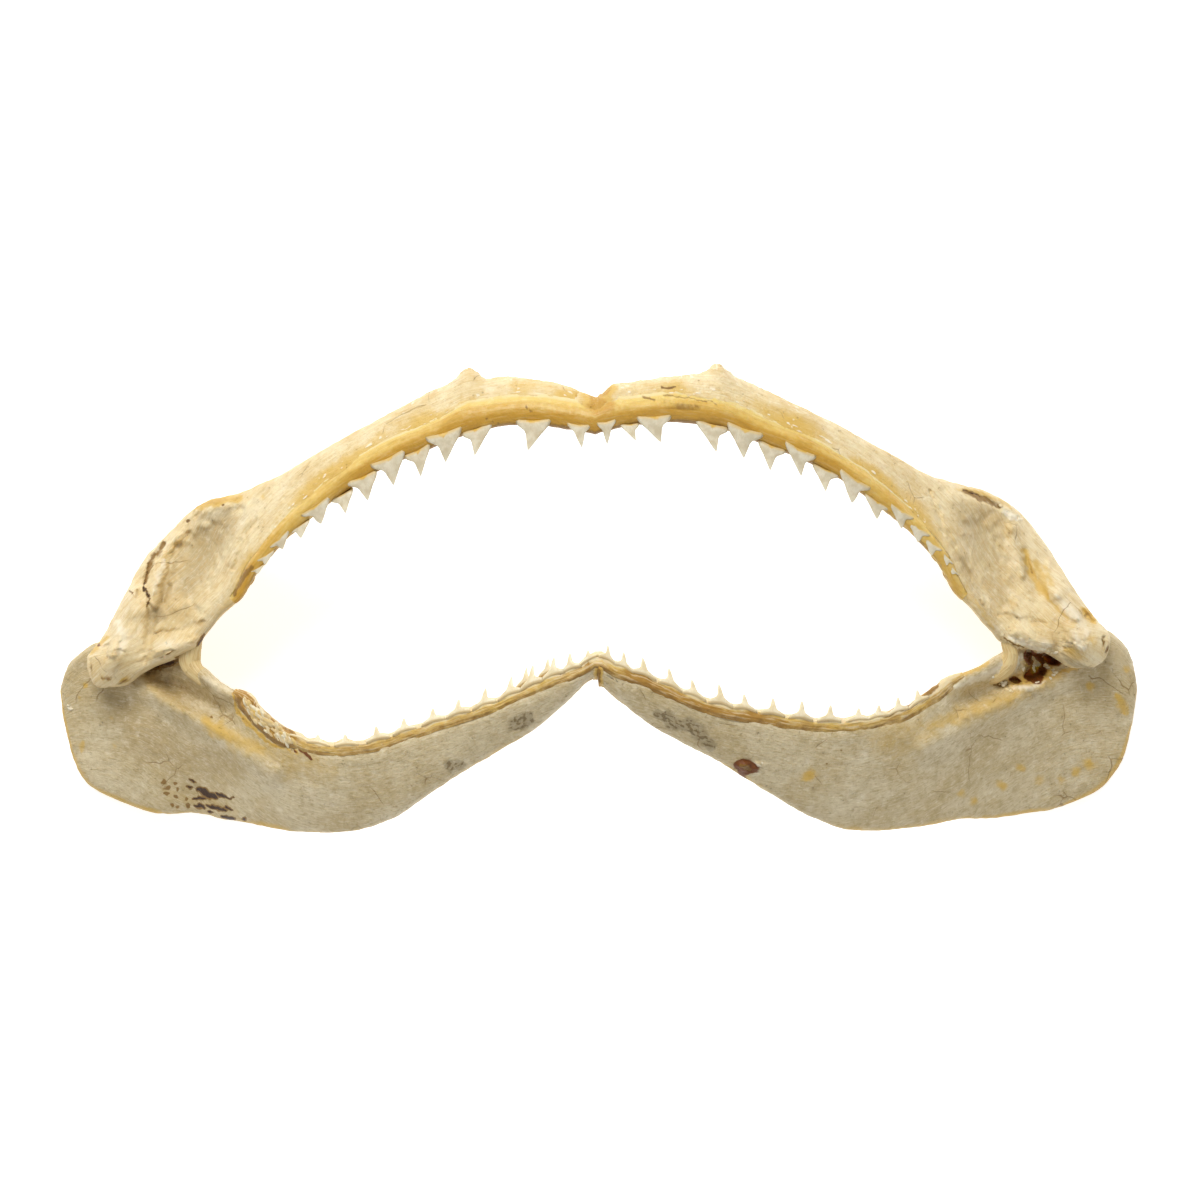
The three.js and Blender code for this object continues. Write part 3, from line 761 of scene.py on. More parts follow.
def gum_look(name, base, deep, edge, lines):
    """Dried gum: a horny, half clear skin, darkest where it is thick."""
    look = Look(name)
    place = look.place()
    large = look.noise(place, 90, 3)
    middle = look.noise(place, 420, 5, 0.65)
    wrinkles = look.streaks(0.25, 1.0, 4, 0.6, 0.8)
    lined = look.streaks(0.14, 1.9, 3, 0.6, 0.4)
    thick, dark, flake = look.channels("marks")
    flaked = look.broken(flake, wrinkles, 0.7, 0.1, 0.8)
    colour = look.layers(
        base,
        (look.step(large, 0.35, 0.65), PALE_AMBER),
        (look.part(wrinkles, 0.5, 0.66, lines), deep),
        (look.part(middle, 0.5, 0.3, 0.35), edge),
        (look.broken(thick, middle, 0.5, 0.2, 0.95), deep),
        (look.part(lined, 0.52, 0.62, 0.65 * lines), edge),
        (look.part(lined, 0.46, 0.36, 0.7 * lines), BROWN),
        (look.math("MULTIPLY", flaked, 1.0 - 0.3 * lines), edge),
        (look.math("MULTIPLY", look.broken(dark, middle, 0.4, 0.25, 0.6), 0.85), BROWN),
        (look.broken(dark, middle, 0.4, 0.7, 1.0), DARK))
    roughness = look.math("MULTIPLY_ADD", middle, 0.3, 0.24)
    normal = look.bumps((wrinkles, 0.0006, 0.45), (middle, 0.0006, 0.5))
    return look.finish(colour, roughness, normal, 0.15, (1.0, 0.55, 0.2))


def tooth_look(name, fair, dull, streak, neck):
    """Enamel, glassy towards the tip, over a duller root, with some gum over its foot."""
    look = Look(name)
    crown = look.attribute("crown")
    clouds = look.noise(look.place(), 380, 3)
    streaks = look.streaks(5.0, 0.8, 3, 0.55)
    enamel = look.layers(
        fair, (look.step(clouds, 0.35, 0.65), dull), (look.part(streaks, 0.5, 0.75, 0.35), streak))
    cover = look.math("ADD", look.attribute("cover"), look.math("MULTIPLY_ADD", clouds, 0.5, -0.25))
    colour = look.layers(
        ROOT,
        (look.step(clouds, 0.4, 0.6), ROOT_STAIN),
        (look.step(crown, -0.3, -0.02), neck),
        (look.step(crown, 0.01, 0.14), enamel),
        (look.step(crown, 0.6, 1.0), fair),
        (look.step(cover, 0.25, 0.75), look.layers(COVER, (look.step(clouds, 0.35, 0.6), AMBER))))
    roughness = look.math("SUBTRACT", 0.5, look.part(crown, 0.0, 0.2, 0.2))
    normal = look.bumps((look.math("ADD", clouds, look.math("MULTIPLY", streaks, 0.5)), 0.00025, 0.4))
    return look.finish(colour, roughness, normal, 0.18, (1.0, 0.8, 0.6), 0.0015)


def ligament_look(name, base, deep):
    """Dried ligament: horny fibres."""
    look = Look(name)
    strands = look.streaks(0.12, 0.9, 4, 0.6, 0.6)
    lumps = look.noise(look.place(), 500, 4, 0.6)
    colour = look.layers(
        base, (look.part(strands, 0.38, 0.62, 0.6), deep), (look.part(lumps, 0.56, 0.75, 0.35), BROWN))
    normal = look.bumps((strands, 0.0004, 0.2), (lumps, 0.0004, 0.35))
    return look.finish(colour, look.math("MULTIPLY_ADD", lumps, 0.35, 0.3), normal, 0.1, (1.0, 0.5, 0.2))


LOOKS = {
    "upper": cartilage_look(
        "upper_cartilage", linear(234, 216, 170), linear(224, 200, 146), linear(204, 170, 108),
        fibre=0.95, fibre_rate=0.13, cloud=0.32, blot=0.12),
    "lower": cartilage_look(
        "lower_cartilage", linear(213, 197, 159), linear(201, 181, 136), linear(163, 139, 86),
        fibre=0.5, fibre_rate=0.3, cloud=0.16, blot=0.7),
    "upper_gum": gum_look(
        "upper_gum", linear(230, 202, 114), linear(202, 154, 52), linear(234, 214, 158), lines=0.25),
    "lower_gum": gum_look(
        "lower_gum", linear(212, 180, 112), linear(178, 134, 56), linear(236, 220, 180), lines=0.75),
    "teeth": tooth_look(
        "tooth_enamel", linear(230, 221, 196), linear(212, 200, 170), linear(190, 174, 138),
        linear(214, 188, 132)),
    "lower_teeth": tooth_look(
        "lower_tooth_enamel", linear(240, 228, 196), linear(226, 210, 170), linear(206, 176, 118),
        linear(222, 196, 144)),
    "joint_web": ligament_look("joint_ligament", linear(222, 200, 146), linear(192, 156, 92)),
    "crumbs": cartilage_look("crumbs", linear(246, 234, 200), linear(236, 214, 160), linear(210, 178, 116)),
}

# Stains, marks and painted shade on the cartilages, by kind: strength, reach in pixels and a line in pixels.
# The tan kind is partly painted shade, and a few dark lines are painted shadow in creases. A rust mark
# stronger than 1 is a hole.
KINDS = ("amber", "dark", "grey", "white", "tan", "rust")
MARKS = {
    "upper_right": {
        "amber": [
            (1.0, 7, [(576, 396), (597, 402)]), (0.7, 14, [(585, 406), (597, 410)]),
            (0.9, 5, [(176, 516), (189, 508), (205, 503), (222, 500), (240, 499)]),
            (0.6, 4, [(107, 637), (97, 646), (90, 652)]),
            (0.5, 1.2, [(89, 669), (104, 679), (119, 684), (131, 680), (140, 673)]),
            (0.7, 3, [(120, 682), (131, 679)]), (0.35, 5, [(112, 655)]),
            (0.35, 6, [(178, 540), (160, 566)]), (0.5, 4, [(264, 496)]),
        ],
        "dark": [
            (0.9, 1.6, [(223, 505)]), (0.9, 1.8, [(188, 521)]), (0.3, 3, [(254, 502)]),
            (0.5, 4.0, [(165, 543), (154, 557), (148, 568), (145, 583)]),
            (0.9, 0.9, [(150, 560), (146, 574), (144, 586)]),
            (0.95, 1.2, [(144, 586), (147, 594), (150, 599), (148, 607)]),
            (0.8, 0.9, [(130, 590), (133, 595)]),
            # painted shadow: the next dark line, from (203, 636) to (176, 659), fills the crease under the
            # quadrate where it meets the lower jaw
            (0.8, 2.2, [(203, 636), (198, 648), (190, 655), (176, 659)]), (0.5, 1.2, [(161, 612)]),
            (0.5, 1.2, [(163, 619)]), (0.6, 0.8, [(166, 654), (175, 650)]),
            (0.7, 1, [(492, 424), (540, 409)]),
        ],
        "grey": [
            (0.4, 5, [(252, 503), (258, 500)]), (0.5, 6, [(196, 522), (215, 516), (236, 508)]),
            (0.55, 9, [(150, 612), (164, 618)]), (0.3, 14, [(196, 528), (186, 548)]),
            (0.4, 4, [(216, 620), (204, 634)]),
        ],
        "white": [
            (0.6, 8, [(118, 622), (124, 636), (120, 654)]), (0.5, 9, [(155, 645), (190, 645)]),
            (0.6, 5, [(164, 560), (154, 592)]),
        ],
        # tan here: partly own colour, partly painted shade in the fossa and on the shaded side of the rod
        "tan": [
            (0.85, 22, [(228, 520), (205, 545), (185, 590)]),
            (0.7, 9, [(200, 632), (215, 612), (232, 590)]),
            (0.8, 7, [(177, 560), (163, 600), (150, 632)]), (0.6, 12, [(160, 615), (190, 620)]),
            (0.2, 9, [(145, 655), (120, 672), (98, 662)]),
            (0.45, 10, [(138, 590), (125, 614), (116, 636)]),
        ],
        "rust": [
            (0.8, 2, [(91, 648)]), (0.7, 1.6, [(99, 644)]),
            (0.5, 1.8, [(90, 666), (102, 679), (119, 684), (131, 680)]),
        ],
    },
    "upper_left": {
        "amber": [
            (1.0, 7, [(597, 402), (614, 396)]), (0.7, 14, [(597, 410), (612, 406)]),
            (0.5, 3, [(955, 489), (975, 492), (1000, 500), (1012, 509)]),
            (0.6, 5, [(1024, 550), (1031, 569), (1039, 584), (1049, 600)]),
            (0.45, 7, [(1044, 566), (1052, 584)]),
            (0.45, 3.5, [(1046, 597), (1065, 615), (1087, 633), (1099, 650)]),
            (0.5, 7, [(1036, 562), (1046, 588)]), (0.6, 4, [(1080, 609), (1095, 622)]),
            (1.0, 4, [(1082, 609), (1094, 620)]), (0.5, 6, [(1085, 655), (1066, 650)]),
            (0.4, 4, [(975, 600), (995, 630)]),
        ],
        "dark": [
            (0.48, 4.2, [(964, 492), (980, 499), (1001, 507)]),
            (0.85, 1.3, [(962, 491), (970, 493), (980, 498)]), (0.3, 2.4, [(941, 491)]),
            (0.35, 2.6, [(1084, 611), (1093, 619)]), (0.6, 3.6, [(1102, 640), (1107, 650)]),
            (0.7, 1.2, [(1004, 638), (1016, 645), (1030, 651)]), (0.9, 2.4, [(643, 398), (654, 399)]),
            (0.95, 1.2, [(662, 395), (676, 398), (692, 399), (716, 403)]),
            (0.75, 1, [(662, 387), (676, 387)]), (0.5, 1.4, [(545, 389), (566, 391), (588, 396)]),
            (0.35, 1.5, [(700, 399), (735, 407)]),
        ],
        "grey": [
            (0.4, 4, [(942, 490)]), (0.8, 4, [(1063, 655), (1075, 664), (1090, 668)]),
            (0.45, 5, [(1018, 620), (1008, 600)]), (0.9, 5, [(646, 398), (656, 399)]),
            (0.9, 4, [(664, 404), (682, 406), (698, 405)]),
        ],
        "white": [
            (0.9, 4, [(1004, 512), (1016, 518)]), (0.6, 8, [(1058, 596), (1074, 616), (1088, 634)]),
            (0.6, 8, [(1072, 632), (1084, 648)]), (0.5, 9, [(1030, 642), (1050, 645)]),
            (0.9, 3, [(1010, 637), (1024, 644), (1040, 650), (1050, 652)]),
            (0.25, 10, [(690, 385), (720, 390)]),
        ],
        "tan": [
            (0.6, 20, [(960, 510), (985, 550), (1000, 600)]),
            (0.7, 9, [(962, 560), (985, 612), (1002, 640)]), (0.6, 9, [(1040, 640), (1060, 655)]),
            (0.5, 8, [(1015, 530), (1026, 560), (1034, 600)]),
        ],
        "rust": [(0.4, 2, [(1028, 560), (1033, 574)])],
    },
    "lower_right": {
        "amber": [
            (0.6, 3, [(85, 685)]), (0.4, 3, [(80, 698)]), (0.4, 3, [(112, 718)]),
            (0.5, 4, [(82, 750), (84, 742)]), (0.4, 3, [(116, 747)]),
            (0.3, 13, [(150, 686), (174, 704), (200, 718), (221, 730)]),
            (0.6, 11, [(205, 722), (226, 737)]), (0.3, 12, [(168, 792), (236, 812)]),
            (0.5, 14, [(225, 735), (262, 750)]), (0.35, 30, [(330, 770), (260, 745)]),
            (0.9, 2, [(233, 694), (236, 708), (252, 728), (272, 744), (298, 752)]),
        ],
        "dark": [
            # painted shadow: the dark lines along (147, 669) to (173, 661) and (176, 660) to (192, 652), and
            # the softer one along (160, 680) to (196, 690), darken the crease and hollow under the condyle
            (0.35, 1.2, [(142, 708), (149, 711)]), (0.9, 4.5, [(147, 669), (160, 664), (173, 661)]),
            (0.7, 3, [(176, 660), (192, 652)]), (0.35, 5, [(160, 680), (176, 686), (196, 690)]),
            (1.0, 3.0, [(198, 790), (207, 793), (216, 797)]),
            (1.0, 1.9, [(216, 794), (225, 796), (233, 799)]), (0.95, 1.9, [(193, 798), (205, 798)]),
            (1.0, 2.3, [(195, 806), (204, 808)]), (1.0, 2.4, [(207, 805), (217, 807), (226, 810)]),
            (0.95, 1.9, [(224, 806), (233, 808)]), (1.0, 2.3, [(208, 811), (213, 812)]),
            (1.0, 2.3, [(222, 817), (234, 818)]), (1.0, 2.1, [(245, 818)]),
            (0.89, 1.9, [(190, 779), (196, 783)]), (0.89, 1.9, [(187, 787), (193, 788)]),
            (0.67, 2.5, [(164, 781)]), (0.67, 3.0, [(167, 787)]), (0.61, 2.4, [(176, 783)]),
            (0.61, 2.7, [(178, 789)]), (0.72, 2.0, [(165, 794), (170, 793)]), (0.72, 2.4, [(176, 797)]),
            (0.72, 2.0, [(186, 798)]), (0.55, 2.7, [(173, 805)]), (0.55, 2.7, [(178, 807)]),
            (0.72, 2.4, [(187, 805)]), (0.6, 1.4, [(211, 718)]),
        ],
        "grey": [
            (0.5, 8, [(70, 664), (86, 668)]), (0.44, 7, [(155, 680), (165, 690), (176, 694)]),
            (0.35, 13, [(178, 788), (232, 808)]), (1.0, 9, [(512, 726), (530, 718)]),
            (0.9, 7, [(446, 767), (462, 764)]), (0.4, 5, [(120, 700), (100, 690)]),
        ],
        "white": [
            (1.0, 2, [(70, 710)]), (0.45, 9, [(182, 699), (200, 706), (216, 712)]),
            (0.5, 4, [(203, 676), (218, 686), (234, 692)]), (0.6, 3, [(331, 794)]),
        ],
        "tan": [
            (0.8, 30, [(120, 700), (150, 740), (220, 770)]),
            (0.9, 12, [(150, 676), (170, 690), (196, 700)]), (0.7, 6, [(205, 700), (222, 708)]),
        ],
        "rust": [(0.8, 1.8, [(290, 749), (303, 752), (311, 758)])],
    },
    "lower_left": {
        "amber": [
            (0.44, 13, [(930, 727), (967, 714), (1008, 699), (1034, 686), (1059, 673)]),
            (0.6, 3, [(1060, 672), (1086, 664), (1103, 655)]),
            (0.6, 16, [(1030, 660), (1045, 672), (1015, 684)]),
            (0.3, 11, [(950, 692), (985, 684), (1004, 676)]),
            (0.6, 4, [(940, 684), (962, 674), (988, 662)]), (0.8, 6, [(809, 776)]),
            (0.6, 6, [(1090, 763)]), (0.6, 5, [(1076, 772)]), (0.5, 5, [(1061, 780)]),
            (0.5, 5, [(1040, 780)]), (0.5, 5, [(1021, 768)]), (0.6, 6, [(1002, 786)]),
            (0.5, 6, [(975, 801)]), (0.5, 5, [(961, 793)]), (0.6, 5, [(1091, 686)]),
            (0.6, 4, [(1126, 669)]), (0.6, 5, [(1118, 695), (1126, 712)]),
            (0.35, 30, [(880, 740), (930, 730)]),
        ],
        "dark": [
            (0.5, 3, [(1030, 658), (1035, 663)]), (0.5, 2.5, [(1012, 681), (1018, 681)]),
            (0.7, 1, [(992, 685), (1008, 686)]), (0.7, 3.4, [(741, 765), (749, 770)]),
            (0.6, 1.3, [(827, 763)]), (0.6, 1.3, [(842, 752)]),
        ],
        "grey": [
            (1.0, 8, [(658, 715), (672, 722), (690, 728), (712, 746)]),
            (0.4, 6, [(1125, 700), (1118, 720)]), (0.35, 7, [(1048, 700), (1070, 690)]),
        ],
        "white": [
            (0.8, 7, [(1002, 676), (1012, 664), (1020, 656)]),
            (0.6, 4, [(1012, 688), (1032, 689), (1044, 681)]), (0.35, 8, [(990, 690), (1010, 692)]),
            (0.6, 5, [(950, 688), (985, 676), (1004, 664)]), (1.0, 2, [(750, 764), (759, 766)]),
        ],
        "rust": [
            (1.2, 7.5, [(1029, 656), (1036, 660), (1037, 668), (1030, 676)]),
            (1.2, 6.5, [(1047, 658), (1057, 662)]), (1.2, 7.5, [(1028, 678), (1040, 673)]),
            (1.0, 3.6, [(1011, 680), (1019, 680)]), (1.2, 8, [(738, 766), (752, 769)]),
        ],
    },
}

# Fine relief on the front, with a round or a flat top: height (negative for a hollow), reach in
# pixels and a line in pixels.
DETAILS = {
    "upper_right": {
        "round": [
            (2.4, 6.5, [(177, 537), (164, 556), (156, 575), (152, 594), (155, 606)]),
            (-2.0, 5, [(188, 533), (172, 556), (165, 582), (162, 602)]),
            (-2.6, 21, [(214, 530), (198, 560), (186, 590)]),
            (-1.2, 3, [(256, 520), (247, 533), (240, 551), (232, 570)]),
            (-1.2, 9, [(172, 616), (198, 612)]),
            (3.0, 9, [(136, 590), (126, 614), (117, 637), (114, 655)]), (1.4, 13, [(113, 662)]),
            (-1.7, 6.5, [(152, 608), (151, 625), (149, 640), (146, 660)]),
            (-1.2, 5, [(112, 606), (99, 632), (90, 652)]), (2.2, 7, [(158, 651), (176, 648), (193, 641)]),
            (-1.4, 4, [(156, 634), (180, 631), (203, 622)]),
            (-1.4, 6, [(196, 519), (216, 514), (240, 508)]),
        ],
        "flat": [
            (-1.7, 3.4, [(165, 543), (154, 557), (148, 568), (145, 583)]),
            (-1.2, 1.2, [(145, 588), (148, 597), (150, 606)]),
            (0.8, 2, [(163, 538), (150, 556), (141, 575)]),
            (-0.9, 1.6, [(92, 668), (102, 678), (120, 683), (136, 676)]), (-0.8, 1.2, [(223, 505)]),
            (-0.8, 1.4, [(188, 521)]), (-0.5, 1.2, [(130, 590), (134, 596)]),
            (0.5, 1.5, [(112, 650), (120, 647), (126, 651)]),
            (-0.6, 1.2, [(161, 657), (168, 651), (175, 650)]),
        ],
    },
    "upper_left": {
        "round": [
            (1.0, 4, [(1004, 512), (1017, 519)]),
            (-0.9, 5, [(1024, 550), (1030, 570), (1040, 586), (1050, 602), (1065, 617), (1081, 631)]),
            (1.8, 6, [(1010, 528), (1016, 548), (1022, 575)]),
            (2.2, 8, [(1046, 566), (1060, 590), (1076, 618)]),
            (-2.6, 22, [(976, 528), (992, 566), (1006, 600)]),
            (-1.2, 3, [(930, 492), (945, 532), (962, 560), (972, 582)]),
            (2.2, 8, [(1016, 632), (1034, 641), (1050, 645)]),
            (-1.4, 4, [(1000, 615), (1022, 620), (1046, 624)]), (2.6, 9, [(1074, 628), (1084, 650)]),
            (-1.0, 6, [(1056, 622), (1060, 640), (1060, 652)]),
        ],
        "flat": [
            (-1.1, 3.6, [(964, 492), (980, 499), (1001, 507)]), (-1.8, 3, [(1102, 639), (1107, 650)]),
            (-0.9, 3, [(1082, 611), (1093, 620)]), (-0.7, 1.4, [(980, 600), (986, 610)]),
        ],
    },
    "lower_right": {
        "round": [
            (-3.0, 6, [(148, 670), (164, 665), (180, 662)]),
            (1.6, 5.5, [(203, 676), (222, 689), (240, 697)]),
            (-2.6, 9, [(166, 682), (188, 694), (218, 707)]),
            (1.8, 8, [(142, 678), (164, 698), (184, 712)]),
            (0.7, 10, [(184, 712), (212, 727), (240, 738)]),
            (-1.2, 3.2, [(240, 700), (254, 722), (276, 740), (294, 746)]),
        ],
    },
    "lower_left": {
        "round": [
            (1.6, 6, [(1000, 676), (1012, 664), (1020, 654)]),
            (0.8, 5, [(1016, 689), (1034, 689), (1048, 680)]), (0.8, 7, [(950, 684), (985, 674)]),
            (0.6, 10, [(900, 738), (930, 728), (965, 716)]),
            (1.3, 8, [(965, 715), (1015, 696), (1045, 679)]),
            (-1.8, 8, [(958, 702), (990, 692), (1004, 684)]),
        ],
        "flat": [
            (-4.5, 6.5, [(1029, 656), (1036, 660), (1037, 668), (1030, 676), (1040, 673)]),
            (-4.5, 5.5, [(1047, 658), (1057, 662)]), (-2.0, 3.4, [(1011, 680), (1019, 680)]),
            (1.2, 4.5, [(744, 767)]), (0.8, 2, [(758, 764)]),
        ],
    },
}


# Crumbling surface: strength, reach in pixels and a line in pixels.
CRUST = {
    "upper_right": [
        (0.5, 8, [(175, 540), (163, 558), (155, 576), (152, 596)]),
        (0.3, 6, [(196, 512), (222, 506), (244, 504)]), (0.35, 9, [(112, 655)]),
    ],
    "upper_left": [
        (1.0, 15, [(1068, 648), (1082, 652)]), (0.9, 5, [(1003, 511), (1018, 519)]),
        (0.8, 6, [(1004, 637), (1030, 647), (1052, 652)]), (0.5, 7, [(1080, 612), (1094, 622)]),
    ],
    "lower_right": [(0.5, 7, [(148, 670), (176, 664)])],
    "lower_left": [
        (1.3, 10, [(1004, 680), (1018, 660), (1040, 648)]),
        (1.3, 8, [(1012, 690), (1034, 691), (1050, 676), (1060, 668)]),
        (0.7, 6, [(738, 766), (760, 765)]),
    ],
}


# How far the edges of marks and relief wander, in pixels, and how soft marks are.
MARK_WANDER = 1.5
DETAIL_WANDER = 1.3
GUM_WANDER = 1.4
MARK_SOFTNESS = 1.2
# Height, size and seed of the lumps all over the cartilages.
CARTILAGE_LUMPS = [(0.22, 9, 1), (0.09, 2.2, 2)]
# How near to the table the surface may come.
LOWEST = 0.02


def crust_of(key, points):
    """Height of the crumbling surface."""
    total = 0
    for strength, reach, line in CRUST[key]:
        total = total + strength * plateau(drawn(pixels_of(points), points, line, reach), 1)
    return total * (0.75 * layered(points, 1.5, 77) + 0.15)


def warped(pixels, points, amount):
    """Pixels moved about a little, so that what is drawn at them has a broken edge."""
    shift = [layered(points, 3.2, seed) + 0.7 * noise(points, 0.9, seed + 3) for seed in (5, 6)]
    return pixels + amount * np.stack(shift, -1)


def detail_of(key):
    """The fine relief of a cartilage, as a function of pixels and points."""
    def detail(pixels, points):
        places = warped(pixels, points, DETAIL_WANDER)
        total = 0
        for top, profile in (("round", bell), ("flat", plateau)):
            for height, reach, line in DETAILS[key].get(top, ()):
                total = total + height * profile(drawn(places, points, line, reach), 1)
        return total
    return detail


def marks_of(key, points, front):
    """Strength of each kind of mark at points of a cartilage."""
    places = warped(pixels_of(points), points, MARK_WANDER)
    marks = {}
    for kind in KINDS:
        marks[kind] = np.zeros(len(points))
        for strength, reach, line in MARKS[key].get(kind, ()):
            value = strength * bell(drawn(places, points, line, reach), MARK_SOFTNESS)
            marks[kind] = np.maximum(marks[kind], value)
        marks[kind] = marks[kind] * front
    return marks


def stations(plate):
    """Places along the cartilage, closer together near the joint and round its end."""
    end_zone = plate.form["outer"][-1] / plate.end_length
    last = plate.distance_along(1 - end_zone)
    distances = [0.0]
    while distances[-1] < last:
        near = smooth(JOINT_START - 0.1, JOINT_START + 0.1, distances[-1] / plate.length)
        distances.append(distances[-1] + SPACING_FRONT + (SPACING_JOINT - SPACING_FRONT) * near)
    t = plate.parameter(np.array(distances) * (last / distances[-1]))
    turn = np.linspace(0, np.pi / 2, ROUND_STEPS + 1)[1:]
    return np.concatenate([t, 1 - end_zone * (1 - np.sin(turn))])


def across(section, steps):
    """Distances in from the toothed margin, closer together on the rounded margins."""
    turn = 1 - np.cos(np.linspace(0, np.pi / 2, ROUND_STEPS + 1))
    toothed, outer, length = (section[key][:, None] for key in ("toothed", "outer", "length"))
    share = np.linspace(0, 1, steps + 1)[1:-1]
    flat = toothed + (length - toothed - outer) * share
    return np.concatenate([turn * toothed, flat, length - (turn * outer)[:, ::-1]], 1)


def plate_grid(plate):
    """The bare cartilage: points and faces, and for each point u, v, the side and the width there."""
    t = stations(plate)
    section = plate.section(t)
    over, under = across(section, ACROSS_FRONT), across(section, ACROSS_BACK)
    upside, front, _ = plate.at(np.broadcast_to(t[:, None], over.shape), over, detail_of(plate.key))
    underside, _, back = plate.at(np.broadcast_to(t[:, None], under.shape), under)
    upside[..., 2] += front
    underside[..., 2] -= back
    top, below = two_sided(over.shape, under.shape)
    points = np.concatenate([upside.reshape(-1, 3), underside.reshape(-1, 3)])
    used, quads = compact(np.concatenate([
        grid_faces(top), grid_faces(below)[:, ::-1],
        zipped(top[0], below[0]), zipped(top[-1], below[-1])[:, ::-1]]), len(points))

    def both(first, second):
        values = [np.broadcast_to(first, over.shape).ravel(), np.broadcast_to(second, under.shape).ravel()]
        return np.concatenate(values)[used]
    u, width = plate.distance_along(t)[:, None], section["length"][:, None]
    return points[used], quads, both(u, u), both(over, under), both(1.0, -1.0), both(width, width)


def torn_skin(points, u, v, side, width, gum_edge):
    """Flecks of torn skin along the upper gum and along the outer margin."""
    torn = smooth(0.0, 0.4, noise(np.stack([u * 0.5, v * 1.5, side * 3], 1), 1, 76))
    torn = torn * smooth(-0.1, 0.4, noise(points, 1.0, 78))
    by_gum = bell(v - gum_edge - 0.5, 2.2) * smooth(125, 110, u)
    by_margin = bell(width - v - 1.6, 2.4) * smooth(80, 60, u)
    return torn * np.maximum(by_gum, by_margin)


def cartilage(plate):
    """One cartilage with its relief, stains, painted shade and weathered surface."""
    upper = plate.jaw == "upper"
    points, quads, u, v, side, width = plate_grid(plate)
    normals = normals_of(points, quads)
    facing = smooth(-0.1, 0.25, normals[:, 2])
    lumps = lumpy(points, CARTILAGE_LUMPS) + facing * crust_of(plate.key, points)
    if upper:
        crust = 0.8 * bell(points[:, 0] - ORBITAL_PROCESS[plate.side], 5) + 0.45 * smooth(75, 50, u) + 0.25
        lumps = lumps + crust * bell(width - v, 3.4) * (0.3 * layered(points, 1.5, 75) + 0.1)
        gum_share = np.minimum(u / plate.distance_along(plate.gum["end"]), 1)
        gum_edge = plate.gum["front"] * along(GUM_FRONT_SHARE["upper"], gum_share)
        flecks = facing * torn_skin(points, u, v, side, width, gum_edge)
        lumps = lumps + 0.16 * flecks
    grooves = 0.1 * noise(np.stack([u * 0.12, v * 0.9, side * 5], 1), 1, 3)
    points = points + normals * ((lumps + grooves) * smooth(0, 3, u))[:, None]
    points[:, 2] = np.maximum(points[:, 2], LOWEST)
    marks = marks_of(plate.key, points, facing)
    patchy = 0.6 + 0.6 * layered(points, 14, 71, 2)
    edge = bell(width - v, 2.0) * np.clip(patchy, 0.1, 1)
    if upper:
        near_gum = smooth(10.0, -1.0, v - gum_edge) * smooth(190, 140, u) * facing
        saddle = bell(u, 5.5) * facing
        tints = [
            0.25 * edge, 0.78 * near_gum * np.clip(patchy, 0.4, 1),
            saddle * np.clip(patchy + 0.3, 0.5, 1)]
        marks["white"] = np.maximum(marks["white"], 0.9 * flecks)
    else:
        tints = [edge * (0.45 + 0.45 * smooth(60, 160, u))]
    marks["amber"] = np.max([marks["amber"], *tints], 0)
    grain = np.stack([u, v, side * 40 + (7 if plate.side == "left" else 0)], 1)
    name = f"{plate.key}_cartilage"
    mesh = make_mesh(name, points, quads, dict(stain_and_shade_attributes(len(points), marks), grain=grain))
    return add_piece(name, mesh, LOOKS[plate.jaw], [f"{plate.jaw}_jaw_{plate.side}"])


# Gum bands.

# How much of its full reach over the front the gum keeps, from the symphysis to its end.
GUM_FRONT_SHARE = {"upper": [1, 1.05, 1.05, 1, 0.9, 0.72, 0.5, 0.34], "lower": [1, 1, 1, 1, 1, 1, 1, 1]}
GUM_LEAST = {"amber": 0.25, "dark": 0.0, "flake": 0.0}
# Lumps as height, size and seed, the height of the folds, and where in the grain noise a band lies.
GUM_LUMPS = {"upper": [(0.16, 4.5, 31), (0.1, 1.4, 32)], "lower": [(0.28, 4.5, 31), (0.1, 1.4, 32)]}
GUM_FOLDS = {"upper": 0.1, "lower": 0.22}
GRAIN_LAYER = {"upper": 60, "lower": 90}
# What is added to the distance in on the back, and at what share of the depth the gum's edges end.
BEHIND = 30
SUNK = 0.6
